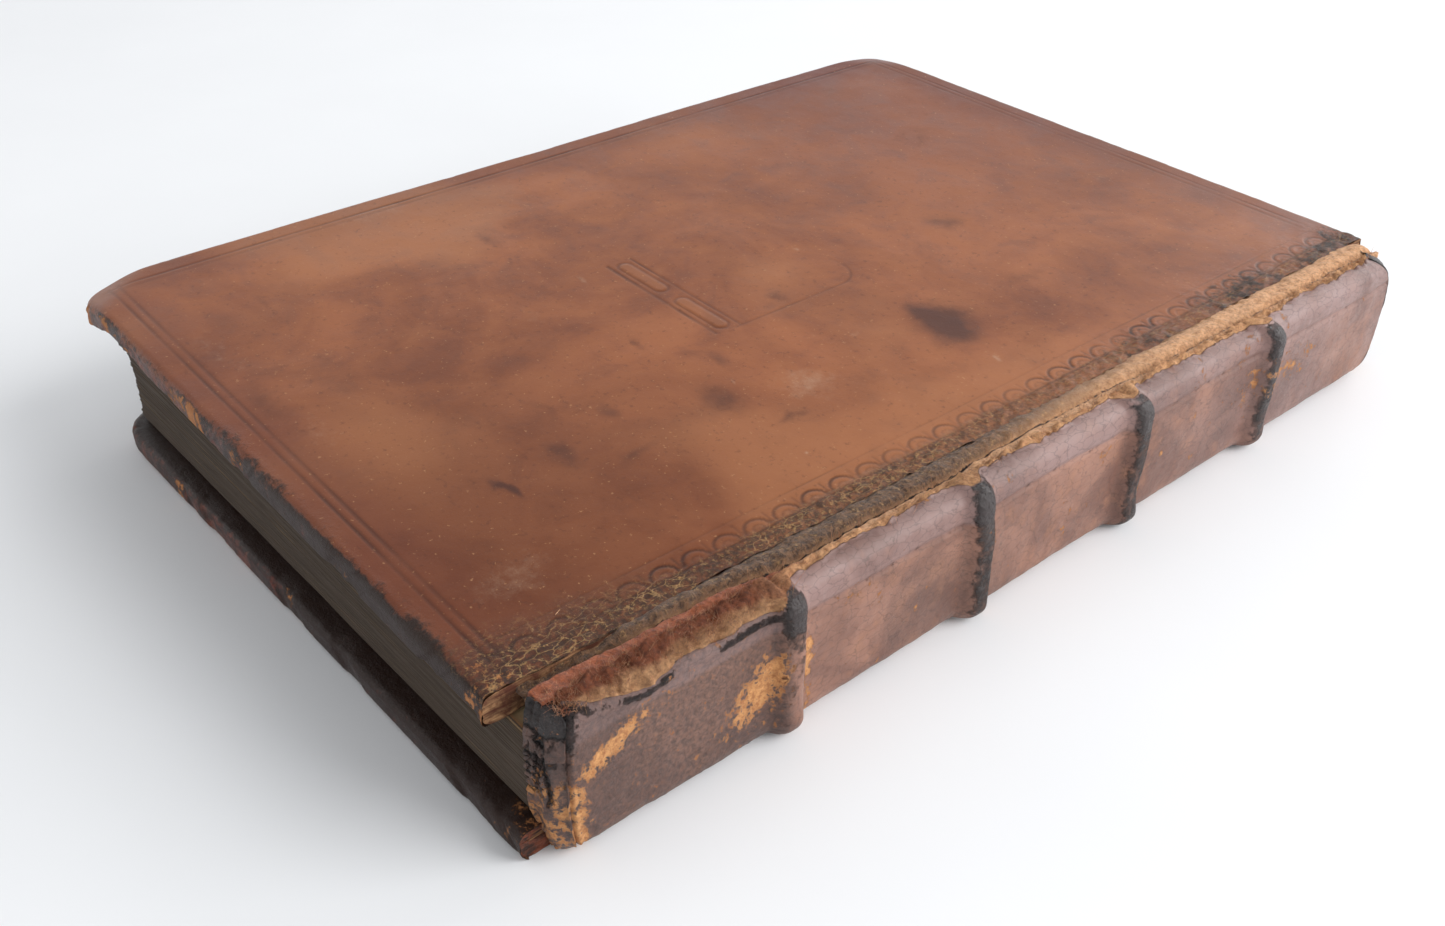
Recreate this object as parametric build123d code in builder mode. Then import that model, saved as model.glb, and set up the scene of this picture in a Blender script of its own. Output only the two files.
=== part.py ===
"""Antique leather-bound prayer book, lying shut on its back cover.

The boards, their leather, the sewn gatherings, the cords, the thread and the
spine are separate solids. X runs from the fore-edge to the spine, Y from the
head to the tail and Z up from the back cover. All sizes are in millimetres.
"""
from build123d import *
import math
import os

os.makedirs("parts", exist_ok=True)

# ---- driving sizes of the book ----
book_length = 190.0          # covers, head to tail
cover_width = 125.8          # covers, spine edge to fore-edge
front_setback = 9.2          # front cover's spine edge, in from the spine's face
back_setback = 4.3           # back cover's spine edge, in from the spine's face
block_height = 13.64         # text block and endpapers at the spine edge
front_tilt = 2.5             # degrees the front cover rises towards the fore-edge
spine_inset = 3.8            # spine leather's ends, in from the covers' ends
head_square = 5.5            # covers' overhang past the pages at head and tail
fore_square = 3.6            # back cover's overhang past the pages
corner_radius = 5.0          # covers' fore-edge corners
worn_corner_radius = 9.0     # back cover's fore-edge corner at the head
gathering_count = 10

# ---- sheet thicknesses and small clearances ----
board_thickness = 3.1
cover_leather = 0.8
spine_leather_thickness = 1.2
turn_in_thickness = 0.5
turn_in_width = 12.0
paste_sheet = 0.15
flyleaf_thickness = 0.3
glue_gap = 0.03              # between layers that are pasted together
leaf_gap = 0.12              # between gatherings that move apart
rest_gap = 0.2               # between an endpaper and its cover

# ---- sewing ----
thread_radius = 0.22
thread_clearance = 0.05      # running fit of a fold on its thread
fold_wall = 0.15
fold_radius = thread_radius + thread_clearance + fold_wall
cord_radius = 1.3
wrap_thickness = 0.2
wrap_height = 0.5
stitch_gap = 0.08            # between the folds and what is sewn against them
kettle_radius = 0.3
kettle_inset = 12.0          # kettle stitches, in from the pages' ends
hole_length = 2.4            # sewing hole through each fold
slip_length = 14.0
slip_width = 4.0
slip_depth = 0.9
lacing_radius = 1.2

# ---- spine ----
band_pitch = 35.6
first_band = -55.7           # the band nearest the head
band_width = 5.0
band_height = 2.0
spine_lip = 3.8              # spine leather's edges, in from the spine's face
spine_floor = 0.4            # spine leather's lower edge above the table
spine_top = 23.2
band_top = 23.5
band_round = 1.4
spine_round = 2.8            # rounded long edges of the spine

# ---- positions worked out from the sizes ----
tilt = math.radians(front_tilt)
cover_thickness = (paste_sheet + 3 * glue_gap + turn_in_thickness
                   + board_thickness + cover_leather)
overall_width = band_height + front_setback + cover_width * math.cos(tilt)
spine_x = overall_width / 2 - band_height
front_edge_x = spine_x - front_setback
back_edge_x = spine_x - back_setback
back_face_z = cover_thickness
front_face_z = back_face_z + block_height
page_half = book_length / 2 - head_square
spine_half = book_length / 2 - spine_inset
fold_x = spine_x - 5.2
page_fore_x = back_edge_x - cover_width + fore_square
band_positions = [first_band + band_pitch * n for n in range(4)]
kettle_positions = [-(page_half - kettle_inset), page_half - kettle_inset]
stations = [kettle_positions[0], *band_positions, kettle_positions[1]]

back_leaf_z = back_face_z + rest_gap
first_boundary = back_leaf_z + flyleaf_thickness + leaf_gap
cover_drop = (front_edge_x - fold_x) * math.tan(tilt)
front_leaf_z = front_face_z + cover_drop - rest_gap - flyleaf_thickness
pitch_at_fold = (front_leaf_z - leaf_gap - first_boundary) / gathering_count
page_rise = (fold_x - page_fore_x) * math.tan(tilt)
pitch_at_fore = pitch_at_fold + page_rise / gathering_count
neck_half = 0.2              # half thickness of a gathering beside its fold
neck_length = 1.0
wedge_length = 13.0          # from the fold to the gathering's full thickness
fore_hollow = 1.5            # depth of the hollow down the middle of the fore-edge

front_plane = Plane(
    origin=(front_edge_x, 0, front_face_z),
    x_dir=(-math.cos(tilt), 0, math.sin(tilt)),
    z_dir=(math.sin(tilt), 0, math.cos(tilt)),
)
back_plane = Plane(origin=(back_edge_x, 0, back_face_z), x_dir=(-1, 0, 0), z_dir=(0, 0, -1))


def save(part, name):
    """Label one sub-part and write it as its own STEP file."""
    part.label = name
    export_step(part, f"parts/{name}.step")


def lift(plane, height):
    """The same plane, moved out along its normal."""
    return plane.offset(height)


def cover_outline(start, end, half_length, corners=None):
    """A board-shaped rectangle, with its (low y, high y) fore-edge corners rounded."""
    with Locations(((start + end) / 2, 0)):
        Rectangle(end - start, 2 * half_length)
    if corners:
        fillet(vertices().sort_by(Axis.Y)[:2].sort_by(Axis.X)[-1:], corners[0])
        fillet(vertices().sort_by(Axis.Y)[-2:].sort_by(Axis.X)[-1:], corners[1])


def inset_corners(corners, inset):
    """Corner radii of an outline drawn that far inside another."""
    return [radius - inset for radius in corners]


def build_cover(side, plane, corners):
    """One cover: board, leather with turn-ins, pastedown and laced-in cord slips.

    Local x runs from the spine edge to the fore-edge and local z runs outward,
    from the pastedown's face.
    """
    half = book_length / 2
    turn_in_z = paste_sheet + glue_gap
    board_z = turn_in_z + turn_in_thickness + glue_gap
    skin_z = board_z + board_thickness + glue_gap
    wall = cover_leather
    window_end = cover_width - wall - turn_in_width
    window_half = half - wall - turn_in_width
    board_end = cover_width - wall - glue_gap
    board_half = half - wall - glue_gap
    hole_x = slip_length
    slip_z = board_z + board_thickness - slip_depth

    with BuildPart() as leather:
        with BuildSketch(lift(plane, turn_in_z)):
            cover_outline(0, cover_width, half, corners)
        extrude(amount=cover_thickness - turn_in_z)
        with BuildSketch(lift(plane, board_z - glue_gap)):
            cover_outline(-1, cover_width - wall, half - wall, inset_corners(corners, wall))
        extrude(amount=skin_z - board_z + glue_gap, mode=Mode.SUBTRACT)
        with BuildSketch(lift(plane, turn_in_z)):
            cover_outline(-1, window_end, window_half)
        extrude(amount=turn_in_thickness, mode=Mode.SUBTRACT)
    save(leather.part, f"{side}_cover_leather")

    with BuildPart() as board:
        with BuildSketch(lift(plane, board_z)):
            board_corners = inset_corners(corners, wall + glue_gap)
            cover_outline(glue_gap, board_end, board_half, board_corners)
        extrude(amount=board_thickness)
        with BuildSketch(lift(plane, slip_z)):
            with Locations([(hole_x / 2, y) for y in band_positions]):
                Rectangle(hole_x, slip_width)
        extrude(amount=slip_depth, mode=Mode.SUBTRACT)
        with BuildSketch(lift(plane, board_z)):
            with Locations([(hole_x, y) for y in band_positions]):
                Circle(lacing_radius)
        extrude(amount=board_thickness, mode=Mode.SUBTRACT)
    save(board.part, f"{side}_board")

    with BuildPart() as slips:
        with BuildSketch(lift(plane, slip_z + glue_gap)):
            with Locations([((hole_x + 1.0) / 2, y) for y in band_positions]):
                Rectangle(hole_x - 1.0, slip_width - 4 * glue_gap)
        extrude(amount=slip_depth - 2 * glue_gap)
        with BuildSketch(lift(plane, board_z + glue_gap)):
            with Locations([(hole_x, y) for y in band_positions]):
                Circle(lacing_radius - glue_gap)
        extrude(amount=board_thickness - 2 * glue_gap)
    save(slips.part, f"{side}_cord_slips")

    with BuildPart() as pastedown:
        with BuildSketch(plane):
            cover_outline(glue_gap, cover_width - fore_square, page_half)
        extrude(amount=paste_sheet)
        with BuildSketch(lift(plane, paste_sheet)):
            cover_outline(glue_gap, window_end - glue_gap, window_half - glue_gap)
        extrude(amount=turn_in_thickness + glue_gap)
    save(pastedown.part, f"{side}_pastedown")


# ---- covers ----
build_cover("front", front_plane, (corner_radius, corner_radius))
build_cover("back", back_plane, (worn_corner_radius, corner_radius))

# ---- torn strip of joint leather, still held by the front board ----
strip_thickness = 1.8
strip_low = cover_thickness - strip_thickness - 0.1
strip_length = front_setback - 4.7
with BuildPart() as joint_strip:
    with BuildSketch(lift(front_plane, strip_low)):
        with Locations((-(strip_length + 0.1) / 2, 0)):
            Rectangle(strip_length - 0.1, 2 * spine_half - 2)
    extrude(amount=strip_thickness)
save(joint_strip.part, "front_joint_leather")


# ---- gatherings, the top one first ----
def boundary(step, distance):
    """Height of the line between two gatherings at a distance from the folds."""
    share = distance / (fold_x - page_fore_x)
    at_fold = first_boundary + step * pitch_at_fold
    at_fore = first_boundary + step * pitch_at_fore
    return at_fold + (at_fore - at_fold) * share


for number in range(1, gathering_count + 1):
    step = gathering_count - number
    fold_z = first_boundary + (step + 0.5) * pitch_at_fold
    off_middle = (step + 0.5) / gathering_count * 2 - 1
    end_x = page_fore_x + fore_hollow * (1 - off_middle ** 2)
    reach = fold_x - end_x
    upper = [
        (fold_x, fold_z + neck_half),
        (fold_x - neck_length, fold_z + neck_half),
        (fold_x - wedge_length, boundary(step + 1, wedge_length) - leaf_gap / 2),
        (end_x, boundary(step + 1, reach) - leaf_gap / 2),
    ]
    lower = [
        (end_x, boundary(step, reach) + leaf_gap / 2),
        (fold_x - wedge_length, boundary(step, wedge_length) + leaf_gap / 2),
        (fold_x - neck_length, fold_z - neck_half),
        (fold_x, fold_z - neck_half),
    ]
    with BuildPart() as gathering:
        with BuildSketch(Plane.XZ):
            with BuildLine():
                Polyline(*upper, *lower, close=True)
            make_face()
            with Locations((fold_x, fold_z)):
                Circle(fold_radius)
                Circle(thread_radius + thread_clearance, mode=Mode.SUBTRACT)
        extrude(amount=page_half, both=True)
        with Locations([(fold_x, y, fold_z) for y in stations]):
            Box(2 * neck_length, hole_length, 4 * fold_radius, mode=Mode.SUBTRACT)
    save(gathering.part, f"gathering_{number:02d}")

# ---- flyleaves, one thin sheet beside each cover ----
leaf_length = fold_x - page_fore_x
with BuildPart() as front_flyleaf:
    with BuildSketch(Plane.XZ):
        with BuildLine():
            Polyline(
                (fold_x, front_leaf_z),
                (page_fore_x, front_leaf_z + page_rise),
                (page_fore_x, front_leaf_z + page_rise + flyleaf_thickness),
                (fold_x, front_leaf_z + flyleaf_thickness),
                close=True,
            )
        make_face()
    extrude(amount=page_half, both=True)
save(front_flyleaf.part, "front_flyleaf")

with BuildPart() as back_flyleaf:
    with BuildSketch(Plane.XY.offset(back_leaf_z)):
        with Locations((fold_x - leaf_length / 2, 0)):
            Rectangle(leaf_length, 2 * page_half)
    extrude(amount=flyleaf_thickness)
save(back_flyleaf.part, "back_flyleaf")

# ---- cords and the thread that ties every fold to them ----
cord_x = fold_x + fold_radius + stitch_gap + wrap_thickness + cord_radius
cord_low = first_boundary - 0.2
cord_high = front_leaf_z + 0.2
for number, position in enumerate(band_positions, start=1):
    with BuildPart() as cord:
        with BuildSketch(Plane.XY.offset(cord_low)):
            with Locations((cord_x, position)):
                Circle(cord_radius)
        extrude(amount=cord_high - cord_low)
    save(cord.part, f"sewing_cord_{number}")

fold_heights = [
    first_boundary + (step + 0.5) * pitch_at_fold for step in range(gathering_count)
]
wrap_inner = cord_radius + glue_gap
kettle_x = fold_x + fold_radius + stitch_gap + kettle_radius
stub_end = cord_x - wrap_inner - wrap_thickness / 2
with BuildPart() as sewing_thread:
    with Locations([(fold_x, 0, z) for z in fold_heights]):
        Cylinder(thread_radius, 2 * kettle_positions[1], rotation=(90, 0, 0))
    wraps = [(cord_x, y, z) for y in band_positions for z in fold_heights]
    with Locations(wraps):
        Cylinder(wrap_inner + wrap_thickness, wrap_height)
    with Locations(wraps):
        Cylinder(wrap_inner, wrap_height, mode=Mode.SUBTRACT)
    stub_length = stub_end - fold_x
    stub_x = fold_x + stub_length / 2
    with Locations([(stub_x, y, z) for y in band_positions for z in fold_heights]):
        Cylinder(thread_radius, stub_length, rotation=(0, 90, 0))
    kettle_length = kettle_x - fold_x
    kettle_stub_x = fold_x + kettle_length / 2
    with Locations([(kettle_stub_x, y, z) for y in kettle_positions for z in fold_heights]):
        Cylinder(thread_radius, kettle_length, rotation=(0, 90, 0))
    kettle_height = fold_heights[-1] - fold_heights[0] + 4 * kettle_radius
    kettle_z = (fold_heights[-1] + fold_heights[0]) / 2
    with Locations([(kettle_x, y, kettle_z) for y in kettle_positions]):
        Cylinder(kettle_radius, kettle_height)
save(sewing_thread.part, "sewing_thread")

# ---- spine leather: a flat-backed channel with raised bands over the cords ----
lip_x = spine_x - spine_lip
middle_z = (spine_top + spine_floor) / 2


def channel(top, face_x, bottom, corner):
    """A box-shaped outline, open side on the lips and rounded on the spine's face."""
    with Locations(((lip_x + face_x) / 2, (top + bottom) / 2)):
        Rectangle(face_x - lip_x, top - bottom)
    fillet(vertices().sort_by(Axis.X)[-2:], corner)


skin = spine_leather_thickness
channel_width = 2 * (cord_radius + glue_gap + wrap_thickness) + 0.2
with BuildPart() as bands:
    for position in band_positions:
        with BuildSketch(Plane.XZ.offset(-position)):
            channel(band_top, spine_x + band_height, spine_floor, spine_round)
        extrude(amount=band_width / 2, both=True)
    band_sides = bands.faces().filter_by(Axis.Y).edges()
    fillet(band_sides.filter_by_position(Axis.X, lip_x + 0.1, spine_x + 5), band_round)

with BuildPart() as spine_leather:
    with BuildSketch(Plane.XZ):
        channel(spine_top, spine_x, spine_floor, spine_round)
    extrude(amount=spine_half, both=True)
    add(bands.part)
    with BuildSketch(Plane.XZ):
        channel(spine_top - skin, spine_x - skin, spine_floor + skin, spine_round - skin)
    extrude(amount=spine_half - skin, both=True, mode=Mode.SUBTRACT)
    for position in band_positions:
        with BuildSketch(Plane.XZ.offset(-position)):
            channel(band_top - skin - 0.2, spine_x + band_height - skin, spine_floor + skin,
                    spine_round - skin)
        extrude(amount=channel_width / 2, both=True, mode=Mode.SUBTRACT)
save(spine_leather.part, "spine_leather")

# ---- paper linings between the bands ----
lining_gap = 0.1
lining_face = fold_x + fold_radius + stitch_gap
kettle_pocket = 2 * kettle_radius + 0.2
lining_ends = [-page_half, *band_positions, page_half]
for number in range(1, len(lining_ends)):
    low = lining_ends[number - 1]
    high = lining_ends[number]
    low_edge = low if number == 1 else low + channel_width / 2 + lining_gap
    high_edge = high if number == len(lining_ends) - 1 else high - channel_width / 2 - lining_gap
    centre = (low_edge + high_edge) / 2
    inset = skin + lining_gap
    with BuildPart() as lining:
        with BuildSketch(Plane.XZ.offset(-centre)):
            channel(spine_top - inset, spine_x - inset, spine_floor + inset, spine_round - inset)
            with Locations(((lining_face + lip_x) / 2, (back_face_z + spine_top - 2.6) / 2)):
                Rectangle(lip_x - lining_face + 0.02, spine_top - 2.6 - back_face_z - 0.6)
        extrude(amount=(high_edge - low_edge) / 2, both=True)
        with Locations([(lining_face, y, middle_z) for y in kettle_positions]):
            Box(2 * kettle_pocket, hole_length, spine_top, mode=Mode.SUBTRACT)
    save(lining.part, f"spine_lining_{number}")

# ---- endbands, sewn across the spine end of the pages ----
endband_radius = 0.8
endband_low = first_boundary
endband_height = front_leaf_z - leaf_gap - first_boundary
endband_y = page_half + endband_radius + 0.1
for end_name, side in (("head", -1), ("tail", 1)):
    with BuildPart() as endband:
        with BuildSketch(Plane.XY.offset(endband_low)):
            with Locations((fold_x, side * endband_y)):
                Circle(endband_radius)
        extrude(amount=endband_height)
    save(endband.part, f"{end_name}_endband")
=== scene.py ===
"""Looks for the antique prayer book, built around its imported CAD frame.

Lengths are in metres in the row frame: +X is the spine side, +Y the tail and
+Z up. Sizes come from the frame's own boxes.
"""

import functools
import math
import random

import bpy
import numpy as np
from mathutils import Matrix, Vector


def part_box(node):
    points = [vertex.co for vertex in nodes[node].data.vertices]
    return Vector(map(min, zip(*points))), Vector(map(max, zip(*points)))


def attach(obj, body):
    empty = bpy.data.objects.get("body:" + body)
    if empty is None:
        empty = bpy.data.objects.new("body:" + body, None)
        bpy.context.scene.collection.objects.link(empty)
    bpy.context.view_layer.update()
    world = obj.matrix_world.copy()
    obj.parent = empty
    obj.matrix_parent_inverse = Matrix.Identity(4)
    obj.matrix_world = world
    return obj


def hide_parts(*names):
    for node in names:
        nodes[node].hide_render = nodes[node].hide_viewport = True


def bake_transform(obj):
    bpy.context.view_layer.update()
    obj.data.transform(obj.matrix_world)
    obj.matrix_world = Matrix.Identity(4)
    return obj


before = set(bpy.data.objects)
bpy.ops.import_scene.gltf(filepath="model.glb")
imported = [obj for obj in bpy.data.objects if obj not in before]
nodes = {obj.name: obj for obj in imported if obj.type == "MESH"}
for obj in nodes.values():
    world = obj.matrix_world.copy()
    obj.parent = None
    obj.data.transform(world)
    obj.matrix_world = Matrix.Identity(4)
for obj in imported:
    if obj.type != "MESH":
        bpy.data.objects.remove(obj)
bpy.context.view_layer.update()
MM = 0.001
random.seed(11)


# ---------------------------------------------------------------- numbers
def smooth(value, low, high):
    """0 below low, 1 above high, eased between them."""
    t = np.clip((np.asarray(value, float) - low) / (high - low), 0, 1)
    return t * t * (3 - 2 * t)


def bump_at(value, centre, width):
    """A rounded bump that is 1 at centre and falls away over width."""
    return np.exp(-(((np.asarray(value, float) - centre) / width) ** 2))


def groove(distance, width):
    """A flat-topped bump: 1 on a tooled line, 0 off it."""
    return np.exp(-((distance / width) ** 4))


def most(*masks):
    """The largest of several masks at each point."""
    return functools.reduce(np.maximum, masks)


def lattice(ix, iy, seed):
    """A repeatable pseudo-random number from 0 to 1 for each lattice point."""
    h = np.sin(ix * 127.1 + iy * 311.7 + seed * 74.7) * 43758.5453
    return h - np.floor(h)


def value_noise(x, y, seed):
    """Smooth noise from -1 to 1 with features one unit across."""
    x, y = np.broadcast_arrays(np.asarray(x, float), np.asarray(y, float))
    ix, iy = np.floor(x), np.floor(y)
    fx, fy = x - ix, y - iy
    fx, fy = fx * fx * (3 - 2 * fx), fy * fy * (3 - 2 * fy)
    low = lattice(ix, iy, seed) * (1 - fx) + lattice(ix + 1, iy, seed) * fx
    high = lattice(ix, iy + 1, seed) * (1 - fx) + lattice(ix + 1, iy + 1, seed) * fx
    return 2 * (low * (1 - fy) + high * fy) - 1


def layered_noise(x, y, size, seed, octaves=4):
    """Noise of several sizes added up, the largest being size across."""
    total, share, weight = 0.0, 1.0, 0.0
    for octave in range(octaves):
        step = size / 2**octave
        total = total + share * value_noise(x / step + 17 * octave, y / step, seed + octave)
        weight += share
        share *= 0.5
    return total / weight


def spread(*pieces):
    """Grid lines from (start, end, spacing) runs, without repeated values."""
    values = []
    for start, end, spacing in pieces:
        count = max(1, round((end - start) / spacing))
        values.extend(np.linspace(start, end, count, endpoint=False))
    values.append(pieces[-1][1])
    return np.array(values)


def finer_ends(half, middle, *bands):
    """Grid lines from -half to half, closer in the (depth, spacing) bands at both ends."""
    runs, last = [], 0
    for depth, spacing in bands:
        runs.append((last, depth, spacing))
        last = depth
    first = [(-half + near, -half + far, spacing) for near, far, spacing in runs]
    final = [(half - far, half - near, spacing) for near, far, spacing in reversed(runs)]
    return spread(*first, (-half + last, half - last, middle), *final)


# ---------------------------------------------------------------- meshes
def mesh_object(name, points, faces, marks=None):
    """A smooth-shaded mesh object with float marks stored on its vertices."""
    mesh = bpy.data.meshes.new(name)
    points = np.asarray(points, np.float32)
    faces = np.asarray(faces, np.int32)
    corners = faces.shape[1]
    mesh.vertices.add(len(points))
    mesh.vertices.foreach_set("co", points.ravel())
    mesh.loops.add(faces.size)
    mesh.loops.foreach_set("vertex_index", faces.ravel())
    mesh.polygons.add(len(faces))
    mesh.polygons.foreach_set("loop_start", np.arange(0, faces.size, corners))
    mesh.polygons.foreach_set("use_smooth", np.ones(len(faces), bool))
    mesh.update(calc_edges=True)
    for mark, values in (marks or {}).items():
        layer = mesh.attributes.new(mark, "FLOAT", "POINT")
        layer.data.foreach_set("value", np.asarray(values, np.float32).ravel())
    mesh.validate()
    thing = bpy.data.objects.new(name, mesh)
    bpy.context.collection.objects.link(thing)
    return thing


def grid_faces(rows, columns, first=0, flip=False):
    """Quads over a rows x columns block of vertices."""
    index = first + np.arange(rows * columns).reshape(rows, columns)
    quads = np.stack(
        [index[:-1, :-1], index[1:, :-1], index[1:, 1:], index[:-1, 1:]], axis=-1
    ).reshape(-1, 4)
    return quads[:, ::-1] if flip else quads


def grid_object(name, points, marks=None, flip=False):
    """An open sheet from a rows x columns x 3 array of points."""
    rows, columns = points.shape[:2]
    return mesh_object(name, points.reshape(-1, 3), grid_faces(rows, columns, flip=flip), marks)


def ring_faces(*shape):
    """Quads between neighbouring rings; the last two sizes are rings and points in each."""
    index = np.arange(math.prod(shape)).reshape(shape)
    after = np.roll(index, -1, axis=-1)
    corners = [index[..., :-1, :], after[..., :-1, :], after[..., 1:, :], index[..., 1:, :]]
    return np.stack(corners, axis=-1).reshape(-1, 4)


def slab_data(upper, lower, first=0):
    """Vertices and faces of a closed slab between two matching grids."""
    rows, columns = upper.shape[:2]
    count = rows * columns
    top = grid_faces(rows, columns, first)
    bottom = grid_faces(rows, columns, first + count, flip=True)
    index = first + np.arange(count).reshape(rows, columns)
    rim = np.concatenate([index[0, :-1], index[:-1, -1], index[-1, :0:-1], index[:0:-1, 0]])
    after = np.roll(rim, -1)
    sides = np.stack([after, rim, rim + count, after + count], axis=-1)
    points = np.concatenate([upper.reshape(-1, 3), lower.reshape(-1, 3)])
    return points, np.concatenate([top, bottom, sides[:, ::-1]])


def grid_normals(points):
    """Unit normals of a grid of points."""
    along = np.gradient(points, axis=0)
    across = np.gradient(points, axis=1)
    normal = np.cross(along, across)
    return normal / np.maximum(np.linalg.norm(normal, axis=-1, keepdims=True), 1e-12)


# ---------------------------------------------------------------- materials
def colour(red, green, blue):
    """A display colour, 0 to 255, as the linear values that shaders use."""
    def linear(c):
        c /= 255
        return c / 12.92 if c <= 0.04045 else ((c + 0.055) / 1.055) ** 2.4
    return (linear(red), linear(green), linear(blue), 1.0)


class Paint:
    """A material being built, with short calls for the nodes used here."""

    def __init__(self, name):
        self.material = bpy.data.materials.new(name)
        self.material.use_nodes = True
        self.tree = self.material.node_tree
        self.shader = self.tree.nodes["Principled BSDF"]
        self.place = self.node("TexCoord").outputs["Object"]

    def put(self, socket, value):
        if hasattr(value, "is_output"):
            self.tree.links.new(value, socket)
        else:
            socket.default_value = value

    def node(self, kind, inputs=None, **settings):
        """A shader node with its settings made and its inputs set or linked."""
        node = self.tree.nodes.new(f"ShaderNode{kind}")
        for key, value in settings.items():
            setattr(node, key, value)
        for label, value in (inputs or {}).items():
            self.put(node.inputs[label], value)
        return node

    def stretch(self, x, y, z):
        return self.node("Mapping", {"Vector": self.place, "Scale": (x, y, z)}).outputs["Vector"]

    def warped(self, size, where):
        """Coordinates pushed about by noise, so that cell edges run unevenly."""
        push = self.node("TexNoise", {"Vector": where, "Scale": 1 / (size * MM)})
        ends = {0: push.outputs["Color"], 1: (size * MM,) * 3, 2: where}
        return self.node("VectorMath", ends, operation="MULTIPLY_ADD").outputs[0]

    def noise(self, size, detail=4.0, rough=0.55, bend=0.0, where=None):
        inputs = {"Vector": where or self.place, "Scale": 1 / (size * MM), "Detail": detail,
                  "Roughness": rough, "Distortion": bend}
        return self.node("TexNoise", inputs).outputs["Fac"]

    def cells(self, size, kind="DISTANCE_TO_EDGE", where=None):
        inputs = {"Vector": where or self.place, "Scale": 1 / (size * MM)}
        return self.node("TexVoronoi", inputs, feature=kind).outputs["Distance"]

    def mark(self, name):
        return self.node("Attribute", attribute_name=name).outputs["Fac"]

    def calc(self, kind, a, b, clamp=False):
        return self.node("Math", {0: a, 1: b}, operation=kind, use_clamp=clamp).outputs[0]

    def times(self, a, b):
        return self.calc("MULTIPLY", a, b)

    def frayed(self, value, noise, amount):
        """A value whose outline is broken up by noise."""
        return self.calc("ADD", value, self.times(self.calc("SUBTRACT", noise, 0.5), amount))

    def raised(self, value, share, amount):
        """A value moved by an amount where the share is high, kept from 0 to 1."""
        return self.calc("ADD", value, self.times(share, amount), clamp=True)

    def span(self, value, low, high, to_low=0.0, to_high=1.0):
        inputs = {"Value": value, "From Min": low, "From Max": high, "To Min": to_low,
                  "To Max": to_high}
        return self.node("MapRange", inputs, interpolation_type="SMOOTHSTEP").outputs["Result"]

    def mix(self, share, a, b):
        return self.node("Mix", {0: share, 6: a, 7: b}, data_type="RGBA").outputs[2]

    def tint(self, base, share, red, green, blue):
        """The base colour with a share of another colour over it."""
        return self.mix(share, base, colour(red, green, blue))

    def bump(self, height, depth, strength=1.0, normal=None):
        inputs = {"Strength": strength, "Distance": depth * MM, "Height": height}
        if normal is not None:
            inputs["Normal"] = normal
        return self.node("Bump", inputs).outputs["Normal"]

    def finish(self, base, rough, normal=None, specular=0.5, sheen=0.0):
        self.put(self.shader.inputs["Base Color"], base)
        self.put(self.shader.inputs["Roughness"], rough)
        self.shader.inputs["Specular IOR Level"].default_value = specular
        if sheen:
            self.shader.inputs["Sheen Weight"].default_value = sheen
            self.shader.inputs["Sheen Roughness"].default_value = 0.5
        if normal is not None:
            self.put(self.shader.inputs["Normal"], normal)
        return self.material


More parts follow.
